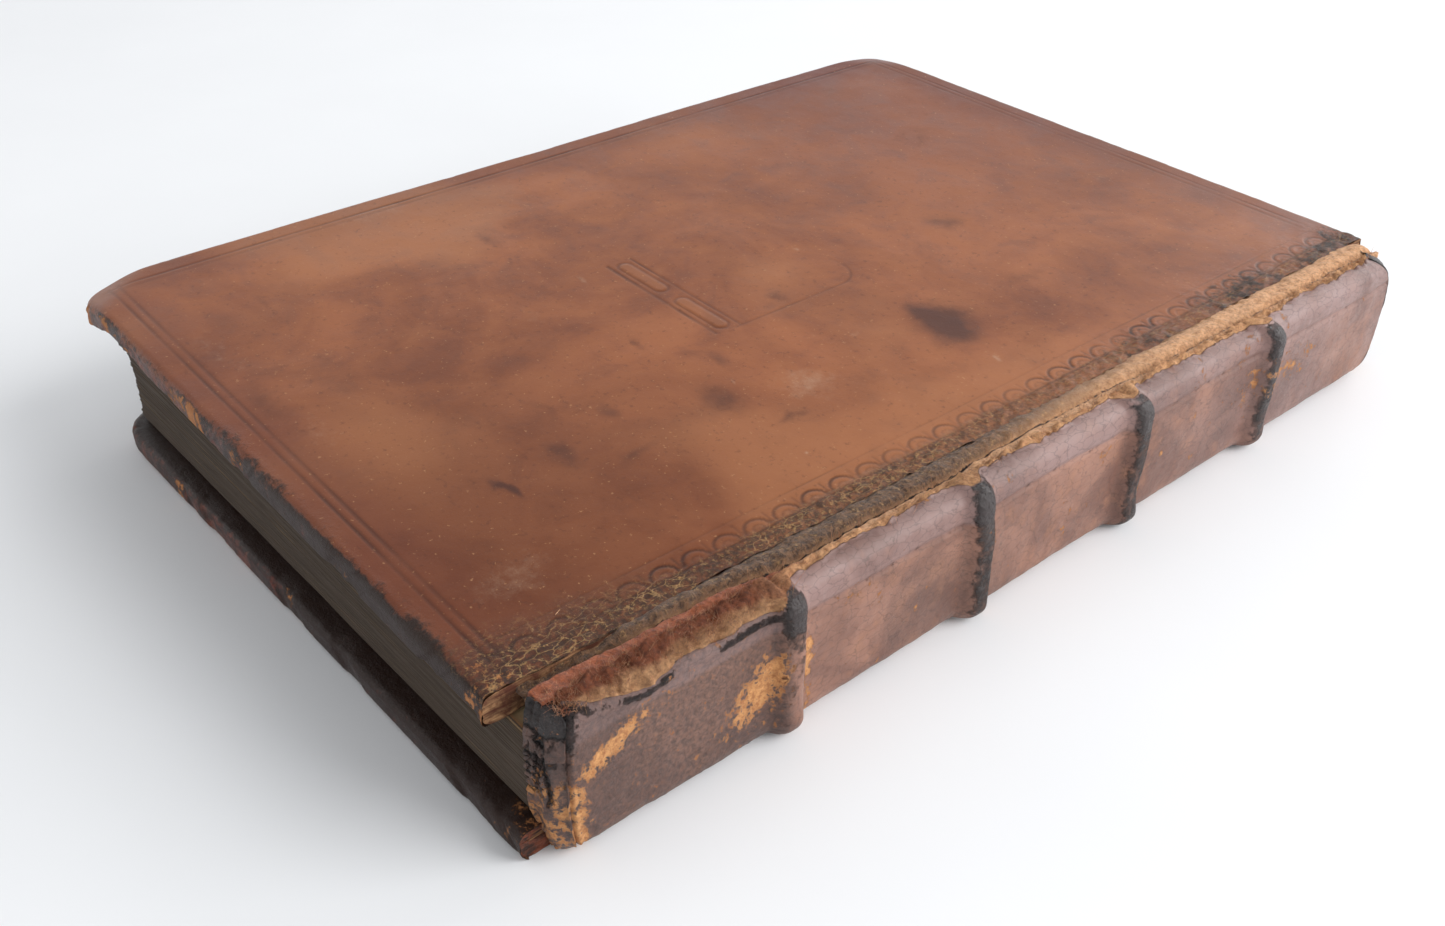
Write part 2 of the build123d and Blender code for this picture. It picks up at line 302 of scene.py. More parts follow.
def calf_leather():
    """Polished brown calf, mottled, stained and rubbed. Marks carry the large wear and some painted
    shade.
    """
    p = Paint("polished_calf")
    cloud = p.noise(30, 4, 0.6, 0.8)
    mottle = p.noise(8, 6, 0.62, 0.5)
    speck = p.noise(1.1, 5, 0.7)
    grain = p.noise(1.6, 7, 0.75)
    base = p.mix(p.span(cloud, 0.3, 0.7), colour(120, 64, 34), colour(150, 88, 52))
    base = p.tint(base, p.span(mottle, 0.42, 0.75, 0, 0.35), 164, 104, 66)
    base = p.tint(base, p.span(mottle, 0.5, 0.28, 0, 0.34), 86, 44, 27)
    # the deep mask: painted shade towards the head end and spine side, and darker near the edges
    base = p.tint(base, p.times(p.mark("deep"), 0.6), 84, 42, 24)
    red = p.times(p.mark("red"), p.span(cloud, 0.3, 0.6, 0.6, 1.0))
    base = p.tint(base, red, 100, 46, 34)
    base = p.tint(base, p.times(p.mark("tan"), 0.45), 162, 106, 68)
    base = p.tint(base, p.span(speck, 0.56, 0.7, 0, 0.4), 74, 38, 24)
    base = p.tint(base, p.span(p.noise(0.7, 3, 0.6), 0.64, 0.74, 0, 0.45), 186, 138, 96)
    dirt = p.frayed(p.mark("stain"), mottle, 1.1)
    dirt = p.frayed(dirt, grain, 0.5)
    base = p.tint(base, p.span(dirt, 0.16, 1.25, 0, 0.78), 58, 27, 21)
    base = p.tint(base, p.times(p.mark("tool"), 0.85), 42, 18, 14)
    flecked = p.mark("crack")
    dark_flecks = p.span(p.noise(1.0, 7, 0.78), 0.6, 0.42, 0, 1)
    base = p.tint(base, p.times(flecked, p.span(dark_flecks, 0, 1, 0.35, 0.9)), 52, 38, 30)
    pale_flecks = p.span(p.noise(0.8, 7, 0.8), 0.53, 0.63)
    base = p.tint(base, p.times(flecked, pale_flecks), 160, 124, 80)
    # the black mark: blackened leather, plus painted shade on the turn-ins
    black_and_painted_shade = p.frayed(p.mark("black"), grain, 1.9)
    black = p.span(black_and_painted_shade, 0.38, 0.8, 0, 0.92)
    base = p.mix(black, base, p.mix(speck, colour(15, 10, 8), colour(40, 28, 21)))
    scuffs = p.frayed(p.mark("wear"), grain, 1.7)
    bare = p.span(scuffs, 0.5, 0.66)
    base = p.mix(bare, base, p.mix(p.noise(1.3, 5, 0.7), colour(196, 136, 84), colour(112, 62, 38)))
    dust = p.frayed(p.mark("pale"), grain, 1.3)
    base = p.tint(base, p.span(dust, 0.3, 1.5, 0, 0.6), 190, 160, 134)
    web = p.cells(1.25, where=p.warped(0.7, p.stretch(1.0, 0.5, 1.0)))
    crazed = p.times(flecked, p.span(web, 0.05, 0.0, 0, 0.6))
    crazed = p.times(crazed, p.span(p.noise(5, 3, 0.6), 0.42, 0.58))
    base = p.tint(base, crazed, 176, 140, 92)
    rough = p.span(mottle, 0.3, 0.7, 0.33, 0.46)
    rough = p.raised(rough, bare, 0.35)
    rough = p.raised(rough, black, 0.02)
    rough = p.raised(rough, flecked, 0.2)
    normal = p.bump(p.noise(0.42, 3, 0.6), 0.04, 0.3)
    normal = p.bump(grain, 0.12, 0.25, normal)
    rugged = p.times(p.calc("MAXIMUM", flecked, p.mark("black")), grain)
    normal = p.bump(rugged, 0.5, 0.6, normal)
    normal = p.bump(p.calc("SUBTRACT", 1.0, bare), 0.14, 0.6, normal)
    return p.finish(base, rough, normal, 0.26)


def spine_calf():
    """Dark, cracked spine leather with flaked ochre patches and shiny black bands."""
    p = Paint("spine_calf")
    cloud = p.noise(15, 4, 0.6, 0.5)
    grain = p.noise(1.4, 7, 0.75)
    fine = p.noise(0.7, 6, 0.75)
    base = p.mix(p.span(cloud, 0.34, 0.68), colour(110, 76, 64), colour(150, 108, 90))
    base = p.tint(base, p.span(p.noise(4, 5, 0.65), 0.5, 0.74, 0, 0.5), 160, 114, 88)
    base = p.tint(base, p.times(p.mark("dark"), p.span(fine, 0.35, 0.6, 1.0, 0.5)), 64, 51, 48)
    base = p.tint(base, p.times(p.mark("dark"), p.span(fine, 0.6, 0.7, 0, 0.5)), 150, 112, 84)
    # the blue mark: greyer along the top lip, painted haze towards the tail end
    base = p.tint(base, p.times(p.mark("blue"), p.span(cloud, 0.3, 0.7, 0.25, 0.7)), 138, 118, 118)
    web = p.cells(1.2, where=p.warped(0.7, p.stretch(1.0, 0.5, 1.0)))
    lines = p.span(web, 0.05, 0.0, 0, 0.4)
    base = p.tint(base, lines, 44, 30, 27)
    # the black mark: black bands and blackened leather, plus painted shade in the caps' folds, hole
    # and split
    black_and_painted_shade = p.frayed(p.mark("black"), grain, 1.4)
    black = p.span(black_and_painted_shade, 0.4, 0.75, 0, 0.93)
    base = p.mix(black, base, p.mix(fine, colour(14, 11, 12), colour(40, 33, 33)))
    flaked = p.frayed(p.mark("wear"), grain, 2.7)
    bare = p.span(flaked, 0.5, 0.62)
    ochre = p.mix(p.span(fine, 0.3, 0.7), colour(214, 158, 102), colour(146, 92, 56))
    base = p.mix(bare, base, ochre)
    torn = p.frayed(p.mark("fuzz"), grain, 0.9)
    torn = p.span(torn, 0.4, 0.6)
    red = p.mix(p.span(fine, 0.35, 0.75), colour(176, 98, 62), colour(84, 40, 26))
    tan = p.mix(p.span(fine, 0.35, 0.75), colour(236, 180, 130), colour(158, 98, 62))
    base = p.mix(torn, base, p.mix(p.mark("red"), tan, red))
    rough = p.span(p.noise(4, 3, 0.5), 0.3, 0.7, 0.34, 0.52)
    rough = p.raised(rough, p.calc("MAXIMUM", bare, torn), 0.4)
    rough = p.raised(rough, black, -0.16)
    normal = p.bump(p.noise(0.5, 3, 0.6), 0.05, 0.4)
    normal = p.bump(grain, 0.3, 0.45, normal)
    normal = p.bump(p.times(torn, fine), 0.6, 1.0, normal)
    normal = p.bump(p.times(p.mark("dark"), grain), 0.5, 0.6, normal)
    normal = p.bump(p.times(black, p.noise(1.1, 4, 0.6)), 0.9, 0.9, normal)
    normal = p.bump(p.calc("SUBTRACT", 1.0, bare), 0.22, 0.8, normal)
    return p.finish(base, rough, normal, 0.45)


def torn_leather():
    """Suede-like torn leather: orange to red-brown fibres, tan dust, black patches and painted
    shade along the split.
    """
    p = Paint("torn_leather")
    grain = p.noise(1.1, 6, 0.75)
    fine = p.noise(0.6, 6, 0.78)
    tan = p.mix(p.span(fine, 0.35, 0.75), colour(240, 186, 138), colour(158, 102, 66))
    red = p.mix(p.span(fine, 0.35, 0.75), colour(186, 104, 66), colour(92, 44, 29))
    share = p.frayed(p.mark("red"), grain, 1.8)
    base = p.mix(p.span(share, 0.25, 0.75), tan, red)
    leather = p.mix(p.span(fine, 0.42, 0.6), colour(70, 48, 35), colour(128, 92, 64))
    leather = p.mix(p.span(p.noise(0.8, 7, 0.8), 0.54, 0.64), leather, colour(166, 130, 86))
    base = p.mix(p.mark("crack"), base, leather)
    # the black mark: painted shade along the split, and black patches
    black_and_painted_shade = p.frayed(p.mark("black"), grain, 1.3)
    base = p.tint(base, p.span(black_and_painted_shade, 0.42, 0.66), 38, 27, 23)
    normal = p.bump(fine, 0.45, 0.9)
    normal = p.bump(grain, 0.4, 0.8, normal)
    return p.finish(base, 0.88, normal, 0.25, 0.2)


def pasteboard():
    """Layered grey-brown board, seen at torn corners and edges."""
    p = Paint("pasteboard")
    layers = p.noise(1.0, 3, 0.6, where=p.stretch(0.1, 0.1, 3.2))
    base = p.mix(p.span(layers, 0.3, 0.7), colour(78, 46, 32), colour(164, 124, 88))
    base = p.tint(base, p.span(p.noise(2.2, 5, 0.7), 0.4, 0.62, 0, 0.85), 74, 36, 26)
    normal = p.bump(layers, 0.3, 0.8)
    normal = p.bump(p.noise(0.6, 4, 0.7), 0.12, 0.6, normal)
    return p.finish(base, 0.9, normal, 0.25)


def page_paper():
    """Aged rag paper, cream inside and dark along the dusty edges."""
    p = Paint("page_paper")
    fox = p.noise(11, 5, 0.65)
    fibre = p.noise(0.7, 4, 0.7)
    base = p.mix(p.span(fox, 0.35, 0.7), colour(222, 205, 168), colour(200, 176, 134))
    spots = p.cells(8.0, "F1")
    base = p.tint(base, p.span(spots, 0.12, 0.03, 0, 0.45), 150, 104, 62)
    base = p.tint(base, p.span(fibre, 0.5, 0.8, 0, 0.3), 176, 150, 112)
    toned = p.span(p.mark("edge"), 0.15, 0.75)
    base = p.tint(base, p.times(toned, 0.75), 150, 116, 82)
    streak = p.noise(0.9, 4, 0.65, where=p.stretch(0.12, 0.12, 1.6))
    grime = p.mix(p.span(streak, 0.3, 0.7), colour(70, 59, 50), colour(80, 68, 58))
    base = p.mix(p.span(p.mark("edge"), 0.8, 0.95), base, grime)
    normal = p.bump(fibre, 0.04, 0.4)
    return p.finish(base, 0.86, normal, 0.3)


def endpaper():
    """Thicker toned paper with offset stains from the leather turn-ins."""
    p = Paint("endpaper")
    fox = p.noise(14, 5, 0.65)
    fibre = p.noise(0.8, 4, 0.7)
    base = p.mix(p.span(fox, 0.35, 0.7), colour(208, 186, 146), colour(178, 150, 108))
    base = p.tint(base, p.span(p.cells(10.0, "F1"), 0.14, 0.03, 0, 0.5), 128, 86, 52)
    toned = p.frayed(p.mark("edge"), fox, 0.5)
    base = p.tint(base, p.span(toned, 0.15, 0.85, 0, 0.9), 118, 78, 48)
    base = p.tint(base, p.span(fibre, 0.5, 0.8, 0, 0.3), 150, 124, 90)
    base = p.tint(base, p.span(p.mark("edge"), 0.85, 0.97), 74, 58, 48)
    normal = p.bump(fibre, 0.05, 0.4)
    return p.finish(base, 0.84, normal, 0.3)


def cord_material(name, light, dark, size):
    """Twisted fibre: slanting strands with a matt surface."""
    p = Paint(name)
    strands = p.noise(size, 4, 0.6, where=p.stretch(1.0, 1.0, 0.4))
    base = p.mix(p.span(strands, 0.3, 0.7), dark, light)
    base = p.tint(base, p.span(p.noise(3, 3, 0.6), 0.5, 0.75, 0, 0.5), 104, 78, 52)
    normal = p.bump(strands, 0.12, 0.7)
    return p.finish(base, 0.9, normal, 0.25, 0.2)


def spine_paper():
    """Brown glued paper under the spine leather."""
    p = Paint("spine_paper")
    base = p.mix(p.noise(5, 5, 0.65), colour(92, 62, 42), colour(164, 128, 88))
    base = p.tint(base, p.span(p.noise(1.2, 4, 0.7), 0.55, 0.7, 0, 0.6), 58, 36, 26)
    return p.finish(base, 0.85, p.bump(p.noise(0.8, 4, 0.7), 0.12, 0.6), 0.3)


CALF = calf_leather()
SPINE = spine_calf()
TORN = torn_leather()
BOARD = pasteboard()
PAGE = page_paper()
ENDPAPER = endpaper()
HEMP = cord_material("hemp_cord", colour(178, 148, 102), colour(120, 90, 58), 0.5)
LINEN = cord_material("linen_thread", colour(206, 184, 140), colour(150, 124, 86), 0.3)
SILK = cord_material("endband_silk", colour(150, 120, 84), colour(86, 58, 40), 0.35)
LINING = spine_paper()


def dress(thing, material):
    """Give a piece or CAD node one material."""
    thing.data.materials.clear()
    thing.data.materials.append(material)


# ---------------------------------------------------------------- frame sizes
def corner_points(name):
    """Vertices of a CAD node as an array."""
    mesh = nodes[name].data
    points = np.empty(len(mesh.vertices) * 3)
    mesh.vertices.foreach_get("co", points)
    return points.reshape(-1, 3)


CORNERS = {"front": 4.2 * MM, "back": 7.5 * MM}   # fore corner radii


class Cover:
    """Where one cover lies: local u runs to the fore-edge, w outward, v along +Y."""

    def __init__(self, side):
        self.side = side
        self.up = 1 if side == "front" else -1
        skin = corner_points(f"{side}_cover_leather")
        sheet = corner_points(f"{side}_pastedown")
        spine_side = skin[skin[:, 0] > skin[:, 0].max() - 0.6 * MM]
        outer = spine_side[np.argmax(spine_side[:, 2] * self.up)]
        inner = spine_side[np.argmin(spine_side[:, 2] * self.up)]
        fore_side = skin[skin[:, 0] < skin[:, 0].min() + 0.6 * MM]
        far = fore_side[np.argmax(fore_side[:, 2] * self.up)]
        run = np.array([far[0] - outer[0], 0, far[2] - outer[2]])
        self.width = float(np.linalg.norm(run))
        self.to_fore = run / self.width
        self.outward = np.array([-self.to_fore[2], 0, self.to_fore[0]]) * -self.up
        paste = (sheet - inner) @ self.outward
        self.origin = np.array([inner[0], 0, inner[2]]) + self.outward * paste.min()
        self.thickness = float((outer - self.origin) @ self.outward)
        self.half = float(skin[:, 1].max())
        self.turn_in = float((inner - self.origin) @ self.outward)
        self.corner = CORNERS[side]

    def place(self, u, v, w):
        """Row-frame points from local ones."""
        u, v, w = np.broadcast_arrays(u, v, w)
        flat = u[..., None] * self.to_fore + w[..., None] * self.outward + self.origin
        return flat + v[..., None] * np.array([0, 1.0, 0])


front = Cover("front")
back = Cover("back")
spine_low, spine_high = (np.array(c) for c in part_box("spine_leather"))
spine_half = spine_high[1]
page_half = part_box("gathering_01")[1][1]
cord_places = [sum(c[1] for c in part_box(f"sewing_cord_{n}")) / 2 for n in range(1, 5)]


# ---------------------------------------------------------------- cover surface
HEAD, TAIL = -1, 1
SCALLOP = 5.2                # pitch of the rolled scallops, mm
PANEL_U, PANEL_V = 61.0, -4.3             # centre of the tooled panel, mm
PANEL_HALF_U, PANEL_HALF_V = 15.0, 16.4
PANEL_CORNER = 5.0
BAR = 5.0                    # width of the bar at the panel's head side, mm
ROUND_OVER = 1.5 * MM        # leather's rounding from the face to the edge
ROUND_IN = 1.0 * MM          # and from the edge to the turn-in
TURN_IN_LAP = 5.2 * MM       # how far the turn-in is modelled inside the cover


def corner_bend(cover, u, v):
    """How far a cover's fore corners are bent in towards the pages."""
    drop = 0
    depths = {"front": {HEAD: 2.6, TAIL: 1.2}, "back": {HEAD: 0.7, TAIL: 0.5}}[cover.side]
    for end, depth in depths.items():
        from_corner = (cover.width - u) + (cover.half - end * v)
        drop = drop + depth * MM * smooth(15 * MM - from_corner, 0, 15 * MM) ** 1.3
    return drop


STAINS = (  # u, v, half-width, half-height in mm, and strength
    (26.0, 13.0, 6.5, 6.0, 1.0), (23.0, 9.0, 5.0, 4.0, 0.7), (29.0, 12.0, 5.0, 2.5, 0.7),
    (52.2, 37.8, 4.2, 4.0, 0.75), (97.9, -30.7, 5.0, 2.4, 0.8), (31.3, -32.1, 5.0, 3.4, 0.85),
    (35.0, -59.0, 4.8, 2.2, 0.85), (38.7, -47.7, 3.0, 1.5, 0.8), (27.3, -52.0, 1.6, 4.5, 0.7),
    (32.3, -70.3, 2.6, 0.9, 1.3), (21.2, -28.0, 1.3, 3.4, 0.9), (49.5, -3.9, 2.6, 2.6, 0.75),
    (81.8, 63.9, 7.0, 6.0, 0.45), (39.4, -25.5, 4.2, 2.0, 0.75), (51.5, -33.5, 2.0, 1.2, 0.7),
    (60.0, -44.0, 3.0, 4.0, 0.4), (28.0, 33.0, 2.4, 8.0, 0.5), (16.0, 52.0, 4.0, 6.0, 0.45),
    (45.0, -56.0, 6.0, 1.2, 0.5), (36.0, -66.0, 3.0, 5.0, 0.4), (73.0, -86.0, 8.0, 3.0, 0.6),
    (30.0, -40.0, 3.0, 6.0, 0.45), (20.0, -58.0, 6.0, 1.6, 0.5), (100.0, -72.0, 5.0, 1.0, 0.5),
)
PALE = (
    (26.0, -19.4, 5.0, 5.5, 0.75), (61.6, 10.2, 1.0, 0.6, 0.9), (12.5, 8.8, 0.8, 1.1, 0.9),
    (12.3, -32.4, 0.4, 0.6, 1.2), (47.5, 78.0, 4.0, 4.0, 0.5), (118.8, -42.0, 5.0, 10.0, 0.5),
    (34.0, -28.6, 0.9, 0.4, 0.9), (70.0, -40.0, 6.0, 4.0, 0.4), (16.0, -80.0, 5.0, 8.0, 0.6),
    (74.0, -27.0, 2.0, 1.0, 0.7), (90.0, -85.0, 14.0, 4.0, 0.45), (33.0, -4.0, 0.7, 1.0, 0.8),
    (119.0, 20.0, 3.0, 26.0, 0.4), (60.0, -83.0, 10.0, 3.0, 0.4),
)


def blots(table, u, v, seed):
    """Soft irregular spots from a table, in the cover's own millimetres."""
    total = 0
    wander_u = layered_noise(u, v, 5, seed, 5)
    wander_v = layered_noise(u, v, 5, seed + 9, 5)
    for cu, cv, ru, rv, strength in table:
        du = (u + 2.6 * wander_u - cu) / ru
        dv = (v + 2.6 * wander_v - cv) / rv
        total = total + strength * np.exp(-(du * du + dv * dv))
    return np.clip(total, 0, 1.4)


def cover_tooling(cover, u, v):
    """Blind-tooled lines, the rolled scallops and the central panel, from 0 to 1."""
    to_fore, to_end = cover.width / MM - u, cover.half / MM - np.abs(v)
    rubbed = 0.55 + 0.45 * layered_noise(u, v, 9, 5, 3)
    inside = smooth(to_fore, 3.5, 4.5) * smooth(to_end, 3.0, 4.0)
    fore_lines = most(groove(to_fore - 5.0, 0.3), 0.8 * groove(to_fore - 6.5, 0.22))
    end_lines = most(groove(to_end - 4.4, 0.3), groove(to_end - 5.9, 0.24))
    end_lines = end_lines * np.where(v > 0, 0.5, 1.0)
    joint_lines = most(0.9 * groove(u - 3.3, 0.26), 0.6 * groove(u - 2.4, 0.22),
                       0.5 * groove(u - 7.4, 0.18))
    along = np.mod(v, SCALLOP) - SCALLOP / 2
    open_side = smooth(u, 3.5, 3.9)
    from_centre = np.hypot(u - 3.8, along)
    arc = 1.3 * groove(from_centre - 2.05, 0.28) * open_side
    leaf = 0.6 * groove(from_centre - 0.8, 0.2) * open_side
    stem = 0.7 * groove(np.abs(along) - SCALLOP / 2, 0.2) * open_side * smooth(6.6 - u, 0, 0.5)
    lines = most(fore_lines, end_lines, joint_lines, arc, leaf, stem)
    pu, pv = u - PANEL_U, v - PANEL_V
    out_u, out_v = np.abs(pu) - PANEL_HALF_U, np.abs(pv) - PANEL_HALF_V
    over_u = np.maximum(out_u + PANEL_CORNER, 0)
    over_v = np.maximum(out_v + PANEL_CORNER, 0)
    rim = np.where((over_u > 0) & (over_v > 0), np.hypot(over_u, over_v) - PANEL_CORNER,
                   np.maximum(out_u, out_v))
    frame_line = groove(rim, 0.25) * (0.1 + 0.55 * smooth(-pu, 6, 14))
    bar = most(groove(pv + PANEL_HALF_V, 0.3), groove(pv + PANEL_HALF_V - BAR, 0.26))
    bar = bar * smooth(-out_u, 0, 0.4)
    return most(lines * inside, frame_line, bar) * rubbed


def cartouches(u, v):
    """Two plain pads with rounded ends in the bar at the head side of the panel."""
    pu, pv = u - PANEL_U, v - PANEL_V + PANEL_HALF_V - BAR / 2
    pad_u = np.maximum(np.abs(np.abs(pu) - 7.8) - 4.8, 0)
    distance = np.hypot(pad_u, pv)
    return smooth(1.25 - distance, 0, 0.35), groove(distance - 1.35, 0.3)


def wrapped_grid(cover, fineness):
    """Local u, v and w over one cover's leather, the way out round its edge, and its stages."""
    steps = [cover.corner - ROUND_OVER, ROUND_OVER * math.pi / 2,
             cover.thickness - cover.turn_in - ROUND_OVER - ROUND_IN, ROUND_IN * math.pi / 2,
             TURN_IN_LAP]
    stages = np.concatenate([[0], np.cumsum(steps)])
    f = fineness * MM
    core_u, core_v = cover.width - cover.corner, cover.half - cover.corner
    wrapped = spread((0.0, stages[1], 0.24 * f), (stages[1], stages[4], 0.3 * f),
                     (stages[4], stages[5], 0.6 * f))
    a = spread((0, 9 * MM, 0.2 * f), (9 * MM, 44 * MM, 0.62 * f), (44 * MM, 78 * MM, 0.34 * f),
               (78 * MM, core_u - 1.5 * MM, 0.62 * f), (core_u - 1.5 * MM, core_u, 0.24 * f))
    middle = spread((0, 26 * MM, 0.34 * f), (26 * MM, core_v - 1.5 * MM, 0.36 * f),
                    (core_v - 1.5 * MM, core_v, 0.24 * f))
    side = np.concatenate([middle[:-1], core_v + wrapped])
    bb, aa = np.meshgrid(np.concatenate([-side[:0:-1], side]),
                         np.concatenate([a[:-1], core_u + wrapped]), indexing="ij")
    over_u = np.maximum(aa - core_u, 0)
    over_v = np.maximum(np.abs(bb) - core_v, 0)
    way = np.maximum(over_u, over_v)
    length = np.maximum(np.hypot(over_u, over_v), 1e-9)
    turn = np.clip((way - stages[1]) / steps[1], 0, 1) * math.pi / 2
    under = np.clip((way - stages[3]) / steps[3], 0, 1) * math.pi / 2
    lateral = np.minimum(way, stages[1]) + ROUND_OVER * np.sin(turn)
    lateral = lateral - ROUND_IN * (1 - np.cos(under)) - np.maximum(way - stages[4], 0)
    drop = ROUND_OVER * (1 - np.cos(turn)) + np.clip(way - stages[2], 0, steps[2])
    drop = drop + ROUND_IN * np.sin(under)
    u = np.minimum(aa, core_u) + over_u / length * lateral
    v = np.sign(bb) * (np.minimum(np.abs(bb), core_v) + over_v / length * lateral)
    return u, v, cover.thickness - drop, way, stages


def cover_wear(cover, um, vm, way, stages, rubbed_side, seed):
    """Where one cover is blackened, rubbed bare, red, dark and crazed, with painted shade on the
    turn-ins and towards the head end and spine side.
    """
    front_side = cover.side == "front"
    half = cover.half / MM
    to_fore, to_end = cover.width / MM - um, half - np.abs(vm)
    edge_near = np.minimum(np.minimum(to_fore, to_end), 20)
    wide = layered_noise(um, vm, 14, seed + 8, 4)
    patchy = layered_noise(um * 0.6, vm, 6, seed + 9, 4)
    before_lap = 1 - smooth(way, stages[4], stages[4] + 1 * MM)
    on_edge = smooth(way, stages[1], stages[2]) * before_lap
    head_share = smooth(-vm, -25, 30)
    tail_share = smooth(vm, 0, 55)
    joint_dark = 1 - smooth(um + 2.5 * patchy, 3.0, 5 + 9 * tail_share)
    head_dark = (1 - smooth(half + vm + 1.5 * patchy, 0.8, 3.4)) * smooth(105 - um, 0, 40)
    head_edge = smooth(-vm, 60, 90) * (0.62 + 0.4 * smooth(75 - um, 0, 30))
    below = smooth(way, stages[1] + 0.2 * MM, stages[1] + 1.4 * MM) * before_lap
    glossy = bump_at(um, 13, 9) * bump_at(vm, -95, 2.6)
    black = most(
        (0.34 + 0.3 * tail_share) * joint_dark * smooth(patchy, -0.55, 0.25),
        0.62 * head_dark * smooth(wide, -0.5, 0.3),
        below * np.maximum(0.5 + 0.5 * wide, head_edge + 0.3 * patchy),
        # the turn-ins: painted shade, near-black on the back cover and half as strong on the front
        (0.5 if front_side else 1.0) * smooth(way, stages[3], stages[4]),
        (0.95 + 0.3 * patchy) * glossy,
    )
    rim = (1 - smooth(edge_near, 0.0, 2.6)) * (way < stages[4])
    wear = 0.26 * (1 - smooth(um, 0.0, 2.4)) * head_share
    wear = wear + 0.4 * rim * smooth(patchy, -0.1, 0.5)
    wear = wear + 0.46 * on_edge * smooth(layered_noise(um, vm, 5, seed + 12, 4), 0.0, 0.4)
    wear = wear + 0.4 * (1 - smooth(np.hypot(to_fore, to_end), 3, 10)) * (on_edge + rim)
    wear = wear * (1.0 if front_side else 0.6)
    near_tip = np.hypot(um - 2, vm + 94) + 1.5 * patchy
    wear = most(wear, 0.5 * (1 - smooth(near_tip, 3, 6))) * (1 - 0.7 * glossy)
    red = 0.8 * smooth(vm, -5, 88) * smooth(um, 20, 110) + 0.45 * (1 - smooth(edge_near, 4, 16))
    red = most(red * (0.7 + 0.3 * wide), 0.9 * (way > stages[2]))
    # darker towards the head end and the spine side, as painted shade for the weaker sheen there;
    # also darker near the edges
    deep = smooth(-vm, 15, 80) * (1 - smooth(um, 30, 95)) + 0.4 * (1 - smooth(edge_near, 5, 14))
    near_corner = (1 - smooth(um + 0.12 * (vm + 95) + 2 * patchy, 4, 13)) * smooth(-vm, 52, 82)
    crack = most(rubbed_side * (0.55 + 0.4 * head_share), 0.8 * near_corner)
    return {"black": black, "wear": wear, "red": red, "deep": deep,
            "crack": crack * (1 - smooth(way, stages[1], stages[2]))}


def cover_skin(cover, seed, fineness):
    """The leather over one board: its face, rounded edges and visible turn-ins."""
    front_side = cover.side == "front"
    u, v, w, way, stages = wrapped_grid(cover, fineness)
    um, vm = u / MM, v / MM
    on_face = 1 - smooth(way, stages[1], stages[2])
    on_edge = (1 - on_face) * (1 - smooth(way, stages[4], stages[4] + 1 * MM))
    mirror_v = vm if front_side else -vm
    tool = cover_tooling(cover, um, mirror_v) * on_face
    pads, pad_rim = (mask * on_face for mask in cartouches(um, mirror_v))
    stain_u = um if front_side else um + 9 * np.sin(vm / 40)
    stain = blots(STAINS, stain_u, vm, seed + 20)
    pale = blots(PALE, um, mirror_v, seed + 40) * (1.0 if front_side else 0.7)
    ragged = 0.6 * layered_noise(vm, vm * 0 + 3, 5, seed + 15, 4)
    rubbed_side = 1 - smooth(um + 0.8 * ragged, 2.6, 4.6)
    ridges = np.abs(layered_noise(um * 2.4, vm, 3.0, seed + 5, 3))
    chips = smooth(layered_noise(um + w / MM, vm, 4.5, seed + 7, 4), 0.05, 0.4)
    rubbed = 0.32 * ridges - 0.1 + 0.14 * layered_noise(um, vm, 1.2, seed + 6, 3)
    rise = 0.14 * layered_noise(um, vm, 42, seed, 2) + 0.03 * layered_noise(um, vm, 5, seed + 3, 3)
    rise = rise - 0.1 * tool + 0.06 * pads - 0.05 * pad_rim
    rise = rise + rubbed_side * rubbed - 0.34 * chips * on_edge
    rise = rise - 0.08 * smooth(pale, 0.7, 1.2) * on_face
    points = cover.place(u, v, w - corner_bend(cover, u, v))
    normal = grid_normals(points)
    if np.median((normal @ cover.outward)[on_face > 0.9]) < 0:
        normal = -normal
    points = points + normal * (rise * MM)[..., None]
    points = points + cover.to_fore * (ragged * np.exp(-um / 1.2) * MM)[..., None]
    tan = smooth(layered_noise(um, vm, 38, seed + 14, 3), -0.1, 0.5) * (1 - smooth(vm, -10, 60))
    masks = cover_wear(cover, um, vm, way, stages, rubbed_side, seed)
    masks["tan"] = tan * on_face + 0.5 * pads
    masks = {key: np.clip(value, 0, 1) for key, value in masks.items()}
    masks.update(stain=stain * on_face, pale=pale * on_face, tool=tool + 0.35 * pad_rim)
    skin = grid_object(f"{cover.side}_cover_skin", points, masks, flip=cover.side == "back")
    dress(skin, CALF)
    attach(skin, f"{cover.side}_cover")
    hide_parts(f"{cover.side}_cover_leather")


